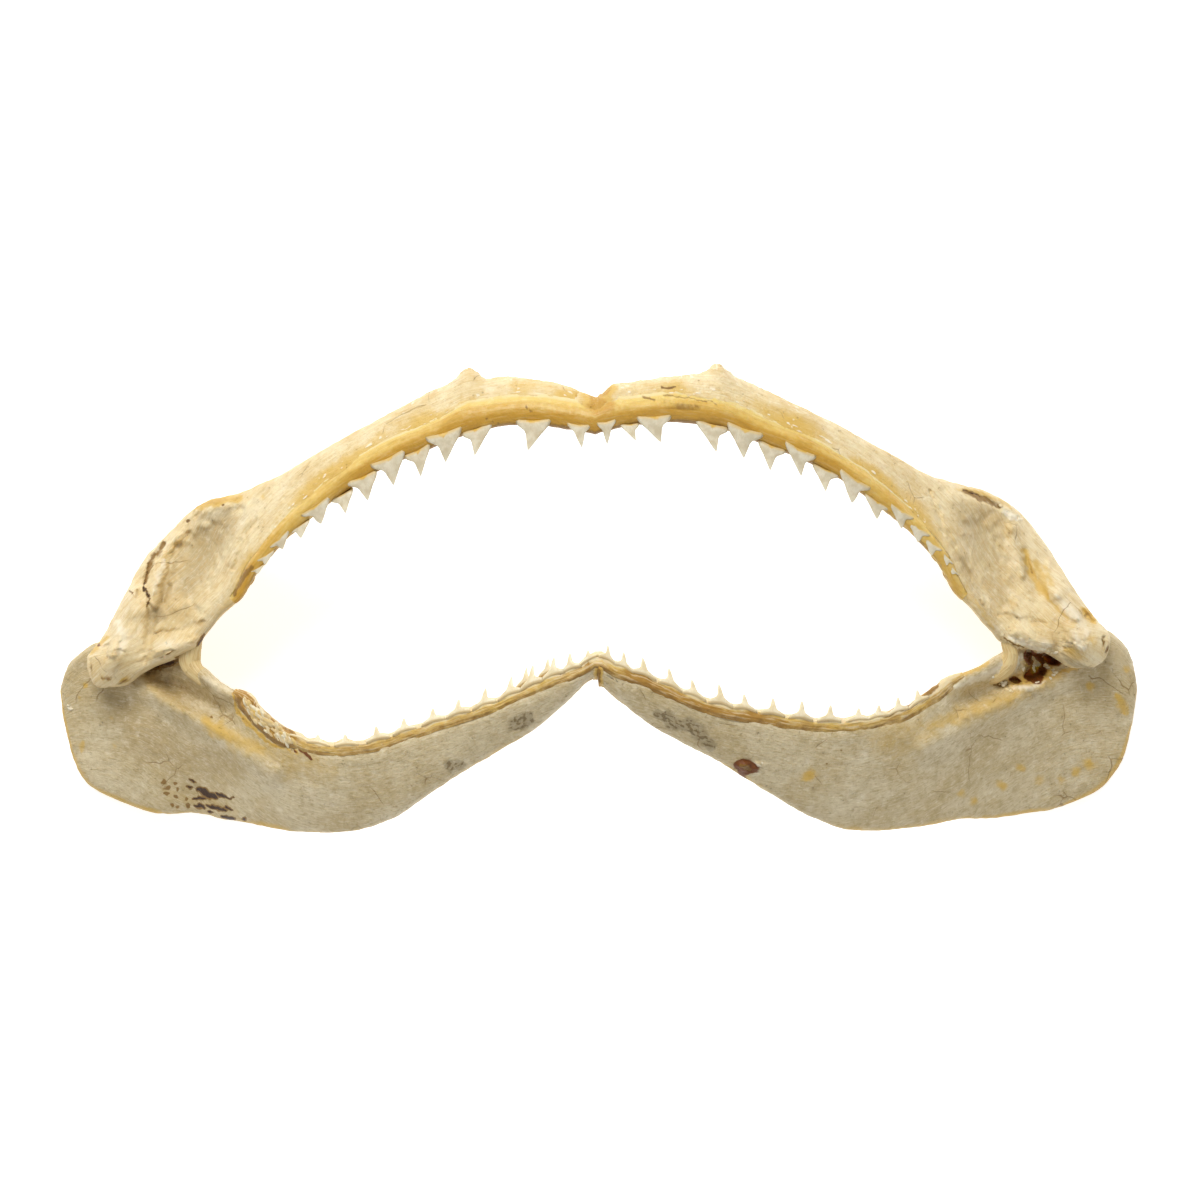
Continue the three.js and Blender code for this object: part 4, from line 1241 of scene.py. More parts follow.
# Amber patches, dark stains and pale flakes of the gums: strength, reach in pixels and a line in
# pixels.
GUM_MARKS = {
    "upper": {
        "amber": [
            (0.95, 9, [(590, 405), (600, 412), (610, 407)]), (0.7, 8, [(600, 400), (600, 425)]),
            (1.0, 8, [(252, 567), (244, 585), (238, 600)]), (0.6, 6, [(560, 415), (585, 414)]),
            (0.6, 6, [(615, 410), (640, 408)]), (0.55, 6, [(930, 525), (960, 575)]),
        ],
        "dark": [
            (0.55, 2.2, [(552, 429), (567, 430)]), (0.6, 2.6, [(493, 431), (517, 430)]),
            (0.6, 2.4, [(672, 421), (693, 424)]), (0.5, 3, [(725, 438), (731, 441)]),
            (0.5, 3, [(754, 445), (762, 448)]), (0.5, 3, [(782, 459), (790, 462)]),
            (0.7, 1.2, [(525, 407), (531, 411)]), (0.5, 1.6, [(529, 411)]),
            (0.75, 2.6, [(252, 567), (240, 582), (234, 596)]),
            (0.5, 3.0, [(664, 407), (682, 409), (700, 409)]), (0.4, 3.0, [(623, 425), (640, 424)]),
            (0.62, 2.0, [(643, 397), (654, 399)]), (0.52, 1.3, [(664, 396), (690, 398), (716, 403)]),
            (0.5, 2.6, [(664, 402), (682, 404), (698, 405)]), (0.6, 1.2, [(485, 418), (500, 424)]),
        ],
        "flake": [
            (0.5, 2.2, [(495, 394), (445, 409), (408, 429), (354, 455)]),
            (0.5, 2.2, [(729, 403), (761, 412), (794, 427), (842, 453), (900, 483)]),
        ],
    },
    "lower": {
        "amber": [
            (0.9, 5, [(588, 655), (590, 680)]), (1.05, 9, [(892, 710), (914, 698), (936, 684)]),
            (1.1, 13, [(242, 696), (254, 712), (272, 728), (290, 738)]),
        ],
        "dark": [
            (0.7, 3, [(900, 710), (920, 699), (938, 686)]),
            (0.8, 2.4, [(238, 699), (241, 708), (254, 724), (270, 738), (288, 747)]),
            (0.6, 1.8, [(240, 697), (250, 702), (270, 715), (292, 733)]), (0.7, 1.2, [(427, 712)]),
            (0.5, 1.0, [(398, 735)]),
        ],
    },
}


def rim_hold(plate, toothed, front):
    """How far in over the front the gum starts to turn over the rim."""
    return toothed if plate.jaw == "upper" else np.minimum(toothed, 0.6 * front)


def rim_point(plate, t, turn):
    """A point where the gum turns over the toothed margin: turn is 0 on the rim, upright in front."""
    gum = plate.gum
    s = plate.section(t)
    hold = rim_hold(plate, s["toothed"], gum["front"])
    _, front, _ = plate.at(t, hold)
    point, _ = plate.middle(s, hold - (hold + gum["rim"] + gum["crest"]) * np.cos(turn))
    point[2] += (front + gum["on_front"]) * np.sin(turn)
    return point


def rim_turn(plate, t, d):
    """How far round the rim the gum has turned at a distance in from the toothed margin."""
    gum = plate.gum
    hold = rim_hold(plate, plate.section(t)["toothed"], gum["front"])
    return np.arccos(np.clip((hold - d) / (hold + gum["rim"] + gum["crest"]), 0.02, 0.98))


def rim_level(plate, t, d):
    return rim_point(plate, t, rim_turn(plate, t, d))[2]


def seen_at(plate, x, y, level, level_at, times=3):
    """What the photograph shows at a pixel: a point, its t and the height that level_at gives there."""
    for _ in range(times):
        point = at_pixel(x, y, level)
        t, d = plate.locate(point[0], point[1])
        level = level_at(t, d)
    return point, t, level


def lower_tooth_places(plate):
    """Where the lower teeth stand along the cartilage, and their tips."""
    found, tips = [], []
    for x, y in LOWER_TIPS[plate.side]:
        _, t, level = seen_at(plate, x, y, 70, lambda t, d: plate.toothed_curve(t)[2] + LOWER_FORWARD)
        found.append(t)
        tips.append(at_pixel(x, y, level))
    return found, tips


def between_teeth(plate, u):
    """How near to halfway between two teeth: 0 at a tooth, 1 halfway."""
    found, _ = lower_tooth_places(plate)
    along_jaw = np.sort(plate.distance_along(np.array(found)))
    place = np.interp(u, along_jaw, np.arange(len(along_jaw)))
    return (0.5 - 0.5 * np.cos(2 * np.pi * place)) * smooth(along_jaw[-1] + 4, along_jaw[-1], u)


def gum_section(plate, t):
    """A ring round the toothed margin at each t: up the front, over the rim, down the back.

    It gives the points, how thick the gum is and how far each point is from the gum's edge."""
    gum = plate.gum
    upper = plate.jaw == "upper"
    s = plate.section(t)
    u = plate.distance_along(t) * plate.sign
    wander = np.stack([u, 0 * u, 0 * u], -1)
    reach = gum["front"] * along(GUM_FRONT_SHARE[plate.jaw], t / gum["end"])
    reach = reach + (1.1 if upper else 0.5) * layered(wander, 7, 21)
    if not upper:
        reach = reach + 0.9 * bell(u - 32, 26) + 2.2 * smooth(-110, -120, u) * smooth(-149, -142, u)
    reach = np.minimum(reach, s["length"] - 1.5)
    back = np.minimum(gum["back"] + 0.8 * layered(wander, 9, 22), s["length"] - 1.5)
    taper = round_edge((gum["end"] - t) / (4 / 30 * gum["end"]) + 0.01)
    hold = s["toothed"]
    hold_front = rim_hold(plate, hold, reach)
    rim = (gum["rim"] + gum["crest"]) * taper
    if not upper:
        rim = rim * (1 - 0.3 * between_teeth(plate, plate.distance_along(t)))
    ring = []

    def lie(d, side, depth, skin):
        """A row of points at a share of the depth of the front (1) or back (-1), under some skin."""
        point, front_half, back_half = plate.at(t, d)
        point[..., 2] += side * (depth * (front_half if side > 0 else back_half) + skin)
        ring.append((point, skin + 0 * d, reach - d if side > 0 else BEHIND + d))

    def face(start, end, steps, side, on):
        edge, soft = (reach, 4.5 if upper else 1.6) if side > 0 else (back, 1.6)
        for share in np.linspace(0, 1, steps):
            d = start + (end - start) * share
            lie(d, side, 1, on * taper * (0.04 + 0.96 * smooth(0, soft, np.abs(d - edge))))
    lie(reach, 1, SUNK, 0)
    face(reach, hold_front, 16 if upper else 7, 1, gum["on_front"])
    front_half = plate.at(t, hold_front)[1] + gum["on_front"] * taper
    back_half = plate.at(t, hold)[2] + gum["on_back"] * taper
    for turn in np.linspace(np.pi / 2, -np.pi / 2, TURN_STEPS + 2)[1:-1]:
        start, half = (hold_front, front_half) if turn > 0 else (hold, back_half)
        d = start - (start + rim) * np.cos(turn)
        point, _ = plate.middle(s, d)
        point[..., 2] += half * np.sin(turn)
        ring.append((point, gum["rim"] * taper, reach - d + (0 if turn > 0 else 10 * abs(turn))))
    face(hold, back, 10, -1, gum["on_back"])
    lie(back, -1, SUNK, 0)
    return [np.stack(rows, 1) for rows in zip(*ring)]


def gum_colours(jaw, points, facing, u, column, columns, risen):
    """Amber, dark and flake marks of a gum band."""
    places = warped(pixels_of(points), points, GUM_WANDER)
    marks = {kind: np.full(len(points), least) for kind, least in GUM_LEAST.items()}
    for kind, rows in GUM_MARKS[jaw].items():
        for strength, reach, line in rows:
            value = strength * bell(distance_to_line(places, line), reach) * facing
            marks[kind] = np.maximum(marks[kind], value)
    amber, dark, flake = marks.values()
    painted = amber > 0.85
    if jaw == "upper":
        pale = smooth(10.5, 2.0, column) * (0.9 + 0.4 * layered(points, 7, 61))
        ambers = [
            0.55 * smooth(8, 15, column) + 0.2 * noise(points, 12, 63),
            (0.6 + 0.4 * smooth(100, 70, np.abs(u))) * smooth(15, 19, column)]
        shade = (0.4 + 0.22 * smooth(90, 60, np.abs(u))) * smooth(19, 22.5, column)
        shade = shade + 0.12 * noise(points, 5, 64)
    else:
        wide = smooth(2, 12, u) * smooth(80, 55, u)
        start = 2.9 + 0.9 * wide + 0.5 * layered(points, 5, 66)
        low = 1.6 + 0.4 * wide + 0.35 * layered(points, 4, 67)
        ambers = [(0.5 + 0.4 * wide) * smooth(start + 0.5, start - 0.5, risen)]
        shade = (0.46 + 0.12 * noise(points, 2, 65)) * smooth(low + 0.6, low - 0.6, risen)
        pale = 0.9 * smooth(start - 0.2, start + 0.7, risen) * smooth(22, 16, column)
        pale = pale + 0.25 * noise(points, 3, 62)
    flake = np.where(painted, 0, np.maximum(flake, pale))
    amber = np.max([amber, *ambers, 0.8 * smooth(columns - 14, columns - 8, column)], 0)
    return np.stack([amber, np.maximum(dark, shade), flake, np.ones(len(points))], 1)


def gum_band(jaw):
    """The gum band of both sides of a jaw, unbroken through the midline."""
    rings = []
    for side in ("right", "left"):
        plate = PLATES[jaw, side]
        last = plate.distance_along(plate.gum["end"])
        t = plate.parameter(np.linspace(0, last, int(last / GUM_SPACING)))
        ring, thick, risen = gum_section(plate, t)
        u = plate.distance_along(t)[:, None] * plate.sign
        values = np.broadcast_arrays(u, np.arange(thick.shape[1]), thick, risen)
        ring = np.concatenate([ring, np.stack(values, -1)], 2)
        rings.append(ring[::-1] if side == "right" else ring)
    right, left = rings
    between = [right[-1] * (1 - share) + left[0] * share for share in (0.25, 0.5, 0.75)]
    whole = np.concatenate([right, np.stack(between), left])
    rows, columns = whole.shape[:2]
    quads = capped(rows, columns)
    points = whole[..., :3].reshape(-1, 3)
    u, column, thick, risen = (whole[..., k].ravel() for k in (3, 4, 5, 6))
    normals = normals_of(points, quads)
    folds = noise(np.stack([u * 0.25, column * 0.6, 0 * u], 1), 1, 33)
    lumps = lumpy(points, GUM_LUMPS[jaw]) + GUM_FOLDS[jaw] * folds
    points = points + normals * (lumps * smooth(0, 0.5, thick))[:, None]
    colours = gum_colours(jaw, points, smooth(-0.2, 0.3, normals[:, 2]), u, column, columns, risen)
    grain = np.stack([u, column * 0.7, 0 * u + GRAIN_LAYER[jaw]], 1)
    mesh = make_mesh(f"{jaw}_gum", points, quads, {"marks": colours, "grain": grain})
    nodes = [f"{jaw}_gum_and_teeth_{side}" for side in ("right", "left")]
    return add_piece(f"{jaw}_gum", mesh, LOOKS[f"{jaw}_gum"], nodes)


# Teeth.

# Half widths of a crown towards the midline and away from it, as shares, up from its base.
UPPER_CROWN = {
    "up": [0, 0.1, 0.2, 0.3, 0.38, 0.5, 0.7, 0.85, 0.95, 1],
    "inner": [1, 0.97, 0.92, 0.82, 0.72, 0.56, 0.35, 0.19, 0.08, 0.01],
    "outer": [1, 0.96, 0.84, 0.6, 0.4, 0.28, 0.18, 0.1, 0.05, 0.01],
    "thick": 0.17, "dip": 0.08, "root": 1.6, "cover": 0.9,
}
EVEN = [1, 0.95, 0.8, 0.58, 0.44, 0.36, 0.25, 0.13, 0.05, 0.01]
EVEN_CROWN = dict(UPPER_CROWN, inner=EVEN, outer=EVEN, cover=0.55)
BLUNT_CROWN = dict(UPPER_CROWN, inner=[1, 0.98, 0.94, 0.85, 0.75, 0.58, 0.4, 0.22, 0.1, 0.02],
                   outer=[1, 0.97, 0.82, 0.56, 0.4, 0.32, 0.24, 0.15, 0.08, 0.02], cover=0.7)
NARROW = [1, 0.97, 0.86, 0.62, 0.38, 0.26, 0.2, 0.14, 0.08, 0.02]
LOWER_CROWN = {
    "up": [0, 0.12, 0.2, 0.28, 0.36, 0.46, 0.6, 0.8, 0.93, 1],
    "inner": NARROW, "outer": NARROW,
    "thick": 0.2, "dip": 0.1, "root": 1.2, "cover": 0,
}
TOOTH_COLUMNS = 13
# The last upper tooth with a sharp crown, and the lower teeth with a second one beside them.
LAST_SHARP = 7
DOUBLE = {"right": (2, 3), "left": ()}
# How far round the rim the lower teeth stand.
LOWER_TURN = 0.95
WIDEST_LOWER = 8.6
# Rows of unused teeth: distance in over the back, tilt and size. Then their forms.
SPARE_ROWS = [(1.2, 0.75, 0.86), (4.0, 0.4, 0.8), (6.8, 0.2, 0.72)]
SPARE_FORM = {
    "upper": {"step": 8.2, "width": 10.4, "height": 7.6, "lean": 0.14, "crown": UPPER_CROWN},
    "lower": {"step": 6.8, "width": 8.0, "height": 5.6, "lean": 0.03, "crown": LOWER_CROWN},
}


def add_tooth(heap, base, tangent, up, outward, width, height, lean, crown, seed):
    """One tooth: tangent leads away from the midline, up to the tip, outward to the front."""
    rows = np.concatenate([np.linspace(-1, 0, 4)[:-1], crown["up"]])
    share = np.linspace(-1, 1, TOOTH_COLUMNS)
    far = np.abs(share)
    risen = np.clip(rows, 0, 1)[:, None]
    root = np.clip(-rows, 0, 1)[:, None]
    inner, outer = (
        np.interp(risen, crown["up"], crown[key]) * (1 - 0.2 * root) for key in ("inner", "outer"))
    x = lean * risen ** 1.15 + np.where(share < 0, inner, outer) * width / 2 * share
    foot = crown["dip"] * height * (1 - far ** 1.4) - 0.06 * height
    y = foot * (1 - risen) * (1 - root) + height * risen - crown["root"] * root * (0.7 + 0.3 * far)
    breadth = (inner + outer) / 2
    thick = crown["thick"] * width * (0.35 + 0.65 * breadth) * (1 - 0.75 * risen ** 2) * (1 - 0.35 * root)
    lens = np.sqrt(np.clip(1 - share ** 2, 0, 1))
    tilt = 0.03 * height * noise(np.array([seed, 0.3, 0.7]), 1)
    bend = 0.05 * height * np.sin(np.pi * risen) + tilt - 2.2 * root ** 0.5
    top, below = two_sided((len(rows), TOOTH_COLUMNS), (len(rows), TOOTH_COLUMNS))
    used, quads = compact(np.concatenate([
        grid_faces(top), grid_faces(below)[:, ::-1],
        np.stack([top[0, 1:], top[0, :-1], below[0, :-1], below[0, 1:]], 1),
        np.stack([top[-1, :-1], top[-1, 1:], below[-1, 1:], below[-1, :-1]], 1)]), 2 * top.size)
    points = np.concatenate([
        (base + x[..., None] * tangent + y[..., None] * up + z[..., None] * outward).reshape(-1, 3)
        for z in (bend + 0.32 * thick * lens, bend - 0.68 * thick * lens)])

    def both(values):
        return np.tile((values + 0 * x).ravel(), 2)[used]
    fallen = y / height + 0.62 * far ** 1.5 + 0.04 * np.sin(9 * share + seed)
    if np.cross(tangent, up) @ outward < 0:
        quads = quads[:, ::-1]
    cover = crown["cover"] * smooth(0.2, 0.04, fallen)
    grain = np.stack([both(x), both(y), both(seed * 3.7)], 1)
    heap.add(points[used], quads, crown=both(risen - root), cover=both(cover), grain=grain)


def frame_of(tangent, up, face=1):
    """Square axes from a rough up direction: up, and outward to the front (1) or the back (-1)."""
    up = unit(up - tangent * (up @ tangent))
    outward = unit(np.cross(tangent, up))
    return up, (outward if outward[2] * face > 0 else -outward)


def tooth_from(heap, base, tangent, to_tip, width, crown, seed):
    """A tooth from its base, its direction along the jaw and the way to its tip."""
    lean = to_tip @ tangent
    up, outward = frame_of(tangent, to_tip)
    height = np.linalg.norm(to_tip - tangent * lean)
    add_tooth(heap, base, tangent, up, outward, width, height, lean, crown, seed)


def add_teeth(name, heap, look):
    return add_piece(name, heap.mesh(name), LOOKS[look])


def upper_tooth_row(plate):
    heap = Heap()
    for number, (left_x, left_y, right_x, right_y, tip_x, tip_y) in enumerate(UPPER_TEETH[plate.side]):
        corners = [(left_x, left_y), (right_x, right_y)]
        inner, outer = corners[::-1] if plate.side == "right" else corners
        _, t, level = seen_at(plate, (left_x + right_x) / 2, (left_y + right_y) / 2, 50,
                              lambda t, d: rim_level(plate, t, d))
        level = level - 0.1
        slope = plate.tangent(t)
        run = slope[2] / max(np.hypot(slope[0], slope[1]), 0.1)
        flat = np.linalg.norm(at_pixel(*outer, level) - at_pixel(*inner, level))
        start = at_pixel(*inner, level - run * flat / 2)
        end = at_pixel(*outer, level + run * flat / 2)
        base = (start + end) / 2
        tip = at_pixel(tip_x, tip_y, plate.toothed_curve(t)[2] + UPPER_FORWARD)
        crown = EVEN_CROWN if number == 0 else BLUNT_CROWN if number > LAST_SHARP else UPPER_CROWN
        tooth_from(heap, base, unit(end - start), tip - base, np.linalg.norm(end - start), crown, number + 1)
    return add_teeth(f"upper_teeth_{plate.side}", heap, "teeth")


def variation(seed):
    """A repeatable number between -1 and 1."""
    wave = np.sin(seed * 12.9898) * 43758.5453
    return 2 * (wave - np.floor(wave)) - 1


def lower_tooth_row(plate):
    """The lower teeth, and a second tooth that the photograph shows beside two of them."""
    heap = Heap()
    found, tips = lower_tooth_places(plate)
    gaps = np.gradient(plate.distance_along(np.array(found)))
    for number, (t, tip, gap) in enumerate(zip(found, tips, gaps)):
        to_tip = tip - rim_point(plate, t, LOWER_TURN)
        width = min(1.02 * gap, WIDEST_LOWER)
        tooth_from(heap, rim_point(plate, t, LOWER_TURN), plate.tangent(t), to_tip, width,
                   LOWER_CROWN, number + 31)
        if number in DOUBLE[plate.side]:
            beside = float(plate.parameter(plate.distance_along(t) + 0.3 * gap))
            tooth_from(heap, rim_point(plate, beside, 0.4), plate.tangent(beside), 0.8 * to_tip,
                       0.8 * width, LOWER_CROWN, number + 71)
    return add_teeth(f"lower_teeth_{plate.side}", heap, "lower_teeth")


def replacement_rows(plate):
    """Rows of unused teeth behind the rim, lying on the gum with their tips away from it."""
    heap = Heap()
    form = SPARE_FORM[plate.jaw]
    last = plate.distance_along(plate.gum["end"]) - 6
    for row, (d, tilt, size) in enumerate(SPARE_ROWS):
        for number, u in enumerate(np.arange(4 + form["step"] / 2 * (row % 2), last, form["step"])):
            t = float(plate.parameter(u))
            if d + 6.5 > plate.section(t)["length"]:
                continue
            tangent = plate.tangent(t)
            base, beyond = (
                plate.surface(t, place, plate.gum["on_back"] * 0.5, face=-1) for place in (d, d + 4))
            along_face = unit(beyond - base)
            _, outward = frame_of(tangent, along_face, -1)
            up, outward = frame_of(tangent, along_face * np.cos(tilt) + outward * np.sin(tilt), -1)
            shrink = size * (1 - 0.55 * smooth(0.45, 1, u / last))
            width = form["width"] * shrink * (1 + 0.06 * variation(u + row))
            add_tooth(heap, base, tangent, up, outward, width, form["height"] * shrink,
                      form["lean"] * width, form["crown"], 50 + 20 * row + number)
    return add_teeth(f"{plate.jaw}_spare_teeth_{plate.side}", heap, "teeth")


# Ligaments.

SLEEVE_STEPS = 26
SLEEVE_LUMPS = [(0.12, 1.6, 41)]


def sleeve(jaw, reach, proud, stain):
    """Ligament wrapped round the symphysis: fullest on the midline, thinning over both sides."""
    rings = []
    for share in np.linspace(-1, 1, SLEEVE_STEPS):
        plate = PLATES[jaw, "left" if share > 0 else "right"]
        far = abs(share) * reach
        t = plate.parameter(max(far - MIDLINE, 0))
        s = plate.section(np.array([t]))
        d = across(s, 10)
        point, front, back = (values[0] for values in plate.at(np.full_like(d, t), d))
        grow = proud * (1 - abs(share) ** 2) + 0.1 - 0.5 * smooth(0.5, 1, abs(share))
        middle = s["a"][0] + s["direction"][0] * s["length"][0] / 2
        base = middle + (point - middle) * (1 + grow / (s["length"][0] / 2))
        base[:, 2] = point[:, 2]
        if far < MIDLINE:
            base[:, 0] = far * np.sign(share)
        up, down = base.copy(), base.copy()
        up[:, 2] += front + grow
        down[:, 2] -= back + grow
        rings.append(np.concatenate([up, down[::-1]]))
    rows, columns = len(rings), len(rings[0])
    points, quads = np.concatenate(rings), capped(rows, columns)
    points = points + normals_of(points, quads) * lumpy(points, SLEEVE_LUMPS)[:, None]
    grain = np.stack([points[:, 0], points[:, 1], np.full(len(points), 7)], 1)
    amber = bell(points[:, 0], 0.6 * reach) * (1.1 + 0.3 * layered(points, 2.5, 43))
    dark = stain * bell(points[:, 0], 0.5 * reach) * (1 + 0.5 * noise(points, 1.5, 44))
    name = f"{jaw}_symphysis_ligament_web"
    marks = stain_and_shade_attributes(len(points), {"amber": amber, "dark": dark})
    mesh = make_mesh(name, points, quads, dict(marks, grain=grain))
    return add_piece(name, mesh, LOOKS[jaw], [f"{jaw}_symphysis_ligament"])


WEB_ROWS = 60
WEB_COLUMNS = 40
WEB_LUMP = 0.16
# The web across each mouth corner: pixel, height, half width in pixels and half thickness.
JOINT_WEB = {
    "right": [
        (204, 626, 27, 2.5, 0.8), (197, 640, 27.5, 6.5, 1.7), (191, 652, 27, 10.5, 2.3),
        (191, 664, 26.5, 10.5, 2.4), (201, 677, 27.5, 8, 2.0), (217, 688, 28, 4.5, 1.4),
        (232, 696, 28.5, 1.5, 0.6),
    ],
    "left": [
        (1000, 630, 27, 2.5, 0.8), (1006, 642, 27.5, 5.5, 1.5), (1010, 654, 27, 7.5, 2.0),
        (1007, 665, 26.5, 9, 2.2), (996, 674, 26.5, 9, 1.9), (978, 681, 27.5, 6, 1.5),
        (958, 688, 28, 2, 0.6),
    ],
}


def joint_ligament(side):
    """The smooth dried web across a mouth corner, from the upper cartilage to the lower one."""
    rows, columns = WEB_ROWS, WEB_COLUMNS
    course = smooth_curve([at_pixel(x, y, level) for x, y, level, _, _ in JOINT_WEB[side]])
    sizes = smooth_curve([
        (half * CAMERA_HEIGHT / FOCAL_PIXELS, thick, 0) for _, _, _, half, thick in JOINT_WEB[side]])
    share = np.linspace(0, 1, rows)
    middle = course(share)
    ahead = unit(np.gradient(middle, axis=0))
    wide = unit(np.cross(ahead, [0, 0, 1.0]))
    high = np.cross(wide, ahead)
    turn = np.linspace(0, 2 * np.pi, columns, endpoint=False)
    folds = 1 + 0.012 * np.sin(5 * turn)[None]
    ends = round_edge(4 * share)[:, None] * round_edge(4 * (1 - share))[:, None]
    half, thick = (sizes(share)[:, k:k + 1] * folds * ends for k in (0, 1))
    x, z = half * np.cos(turn), thick * np.sin(turn)
    points = (middle[:, None] + x[..., None] * wide[:, None] + z[..., None] * high[:, None]).reshape(-1, 3)
    points = points + np.stack([lumpy(points, [(WEB_LUMP, 3, 50 + k)]) for k in range(3)], 1)
    used, quads = pinched(rows, columns)
    grain = np.stack([
        np.repeat(share * 30, columns), np.tile(np.cos(turn) * 6, rows), np.tile(np.sin(turn) * 3, rows)], 1)
    name = f"jaw_joint_ligament_pad_{side}"
    mesh = make_mesh(name, points[used], quads, {"grain": grain[used]})
    return add_piece(name, mesh, LOOKS["joint_web"], [f"jaw_joint_ligament_{side}"])


# Small things: crumbs and the flakes of an open tooth groove.

CRUMB_FORM = [1.2, 0.9, 0.7]


def add_crumb(heap, middle, size, seed):
    """A rough little lump."""
    points, quads = ball(6, 8)
    points = points * (1 + 0.4 * noise(points + seed * 3.1, 0.8, 91))[:, None] * size * CRUMB_FORM + middle
    marks = {"amber": 0.2, "white": 0.9 if seed % 1 < 0.7 else 0.2}
    heap.add(points, quads, grain=points, **stain_and_shade_attributes(len(points), marks))


# Jaw, side, size, how many, their spread in pixels and a line in pixels.
CRUMB_RUNS = [
    ("lower", "left", 0.6, 40, 4.0, [(1002, 672), (1014, 665), (1022, 655), (1021, 668)]),
    ("lower", "left", 0.6, 40, 3.4, [(1008, 689), (1026, 690), (1044, 683), (1054, 672)]),
    ("lower", "left", 0.55, 24, 2.6, [(1045, 664), (1048, 670), (1040, 650)]),
    ("lower", "left", 0.5, 16, 3.0, [(992, 676), (1004, 684)]),
    ("lower", "left", 0.6, 14, 2.4, [(756, 763), (762, 765)]),
    ("lower", "left", 0.35, 5, 3.0, [(744, 768), (752, 767)]),
    ("upper", "left", 0.5, 30, 3.0, [(1006, 636), (1024, 645), (1040, 651), (1054, 653)]),
    ("upper", "left", 0.55, 30, 3.4, [(1001, 509), (1009, 514), (1018, 519)]),
    ("lower", "right", 0.45, 8, 2.0, [(70, 709)]),
]


def crumbs():
    heap = Heap()
    for jaw, side, size, count, spread, line in CRUMB_RUNS:
        plate = PLATES[jaw, side]
        line = np.array(line + line[-1:], float)
        holes = [(reach, hole) for strength, reach, hole in MARKS[plate.key].get("rust", ()) if strength > 1]
        for _ in range(count):
            where = random.uniform(0, len(line) - 1.001)
            first = int(where)
            place = line[first] + (line[first + 1] - line[first]) * (where - first)
            place = place + random.normal(0, spread / 2, 2)
            sunk = -0.1 * size
            _, _, level = seen_at(plate, *place, 35, lambda t, d: plate.surface(t, d, sunk)[2], times=4)
            middle = at_pixel(*place, level)
            size_here, seed = size * random.uniform(0.4, 1.2), random.uniform(0, 9)
            t, d = plate.locate(middle[0], middle[1])
            in_hole = any(distance_to_line(place, hole) < reach for reach, hole in holes)
            if 0.8 < d < plate.section(t)["length"] - 0.8 and t < 0.985 and not in_hole:
                add_crumb(heap, middle, size_here, seed)
    return add_piece("crumbs", heap.mesh("crumbs"), LOOKS["crumbs"])


# The open groove in pixels: where it starts, how far it runs and half its width, each as x and y.
GROOVE_START = (244, 703)
GROOVE_RUN = (50, 41)
GROOVE_HALF = (4.4, -4.8)
GROOVE_FLAKES = 78


def open_groove():
    """The torn end of the lower gum on one side, where rows of small teeth lie open."""
    plate = PLATES["lower", "right"]
    heap = Heap()
    round_points, quads = ball(9, 10)
    count = len(round_points)
    for _ in range(GROOVE_FLAKES):
        share = random.uniform(0, 1)
        aside = random.uniform(-1, 1) * (0.35 + 0.65 * np.sin(np.pi * share))
        x = GROOVE_START[0] + GROOVE_RUN[0] * share + GROOVE_HALF[0] * aside
        y = GROOVE_START[1] + GROOVE_RUN[1] * share ** 0.85 + GROOVE_HALF[1] * aside
        middle, _, _ = seen_at(plate, x, y, 30, lambda t, d: rim_level(plate, t, d) + 0.2)
        turn = random.uniform(-0.5, 0.3) - 0.75
        long, short = random.uniform(1.3, 2.4), random.uniform(0.45, 0.8)
        along_flake = np.array([np.cos(turn), np.sin(turn), random.uniform(-0.3, 0.3)])
        over = unit(np.array([random.uniform(-0.5, 0.5), random.uniform(-0.5, 0.5), 1]))
        flake = round_points[:, :1] * long * along_flake
        flake = flake + round_points[:, 1:2] * short * np.cross(over, along_flake)
        flake = flake + (round_points[:, 2:] * 0.4 - 0.25 * round_points[:, :1] ** 2) * over
        heap.add(middle + flake, quads, crown=np.full(count, random.uniform(-0.15, 0.3)),
                 cover=np.full(count, random.choice([0.0, 0.15, 0.5])), grain=middle + flake)
    return add_teeth("open_tooth_groove", heap, "lower_teeth")


PLATES = {(jaw, side): Plate(jaw, side) for jaw in ("upper", "lower") for side in ("right", "left")}

for plate in PLATES.values():
    cartilage(plate)
for jaw in ("upper", "lower"):
    gum_band(jaw)
for side in ("right", "left"):
    upper_tooth_row(PLATES["upper", side])
    lower_tooth_row(PLATES["lower", side])
    joint_ligament(side)
for plate in PLATES.values():
    replacement_rows(plate)
sleeve("upper", 9, 0.3, 0.0)
sleeve("lower", 2.4, 0.35, 0.4)
crumbs()
open_groove()


# Studio.

FLOOR_GLOW = 0.6
FLOOR_HALF = 3.0
FLOOR_LEVEL = -0.0001
WORLD_GLOW = 0.42
FILM_WIDTH = 36
FARTHEST = 20
AIM = (0, 0, 0.03)
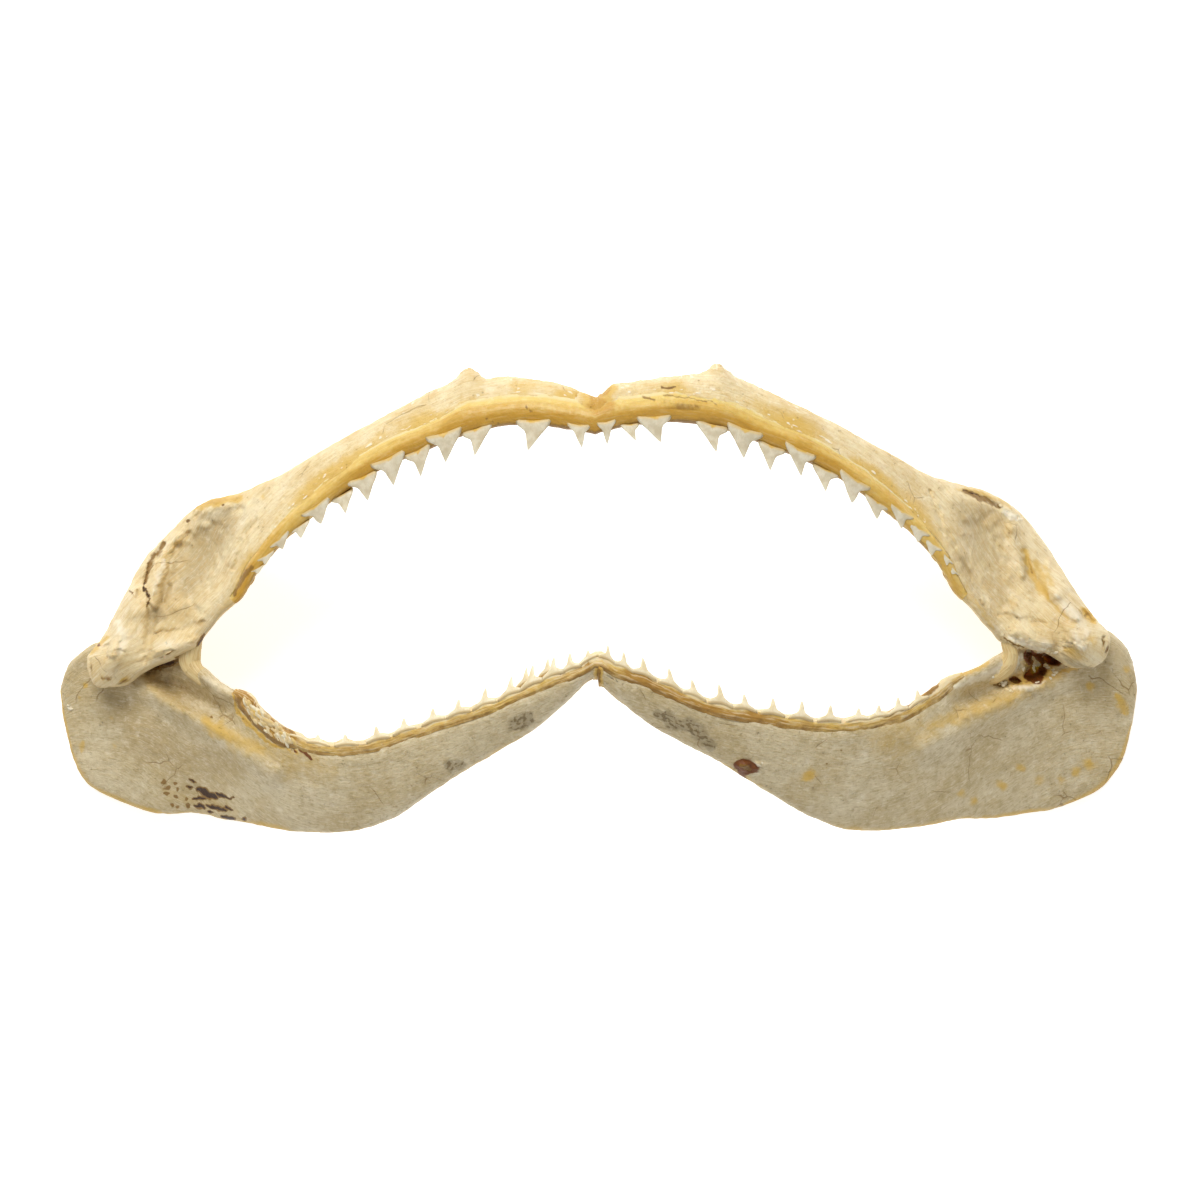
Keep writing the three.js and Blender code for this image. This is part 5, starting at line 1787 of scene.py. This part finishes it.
# Round lights aimed at the jaws: name, place, size, power and colour.
LIGHTS = [
    ("key", (-0.35, 1.3, 1.3), 1.1, 26.5, (1, 0.985, 0.96)),
    ("fill", (0.5, -1.3, 1.5), 1.6, 4, (0.97, 0.985, 1)),
]


def floor_look():
    look = Look("pale_floor")
    grain = look.noise(look.place(), 40, 3)
    colour = look.layers((0.93, 0.93, 0.925, 1), (look.step(grain, 0.3, 0.7), (0.95, 0.95, 0.945, 1)))
    look.shader.inputs["Emission Strength"].default_value = FLOOR_GLOW
    look.shader.inputs["Emission Color"].default_value = (1, 1, 1, 1)
    return look.finish(colour, 0.9, look.bumps((grain, 0.0001, 0.1)))


def floor():
    mesh = bpy.data.meshes.new("studio_floor")
    corners = [(x * FLOOR_HALF, y * FLOOR_HALF, FLOOR_LEVEL) for x, y in ((-1, -1), (1, -1), (1, 1), (-1, 1))]
    mesh.from_pydata(corners, [], [(0, 1, 2, 3)])
    mesh.materials.append(floor_look())
    studio_floor = linked("studio_floor", mesh)


def area_light(name, place, size, power, colour):
    light = bpy.data.lights.new(name, "AREA")
    light.shape, light.size, light.energy, light.color = "DISK", size, power, colour
    holder = linked(name, light)
    holder.location = place
    holder.rotation_euler = (Vector(AIM) - Vector(place)).to_track_quat("-Z", "Y").to_euler()


def surroundings():
    world = bpy.data.worlds.new("studio")
    world.use_nodes = True
    background = world.node_tree.nodes["Background"]
    background.inputs["Color"].default_value = (1, 1, 1, 1)
    background.inputs["Strength"].default_value = WORLD_GLOW
    bpy.context.scene.world = world
    bpy.context.scene.view_settings.view_transform = "Standard"


def photo_camera():
    lens = bpy.data.cameras.new("photo_camera")
    lens.sensor_width = FILM_WIDTH
    lens.lens = FOCAL_PIXELS / IMAGE_SIZE * FILM_WIDTH
    lens.clip_end = FARTHEST
    camera = linked("photo_camera", lens)
    x, y, _ = at_pixel(IMAGE_SIZE / 2, IMAGE_SIZE / 2, 0) * MM
    camera.location = (x, y, CAMERA_HEIGHT * MM)
    bpy.context.scene.camera = camera


floor()
for light in LIGHTS:
    area_light(*light)
surroundings()
photo_camera()
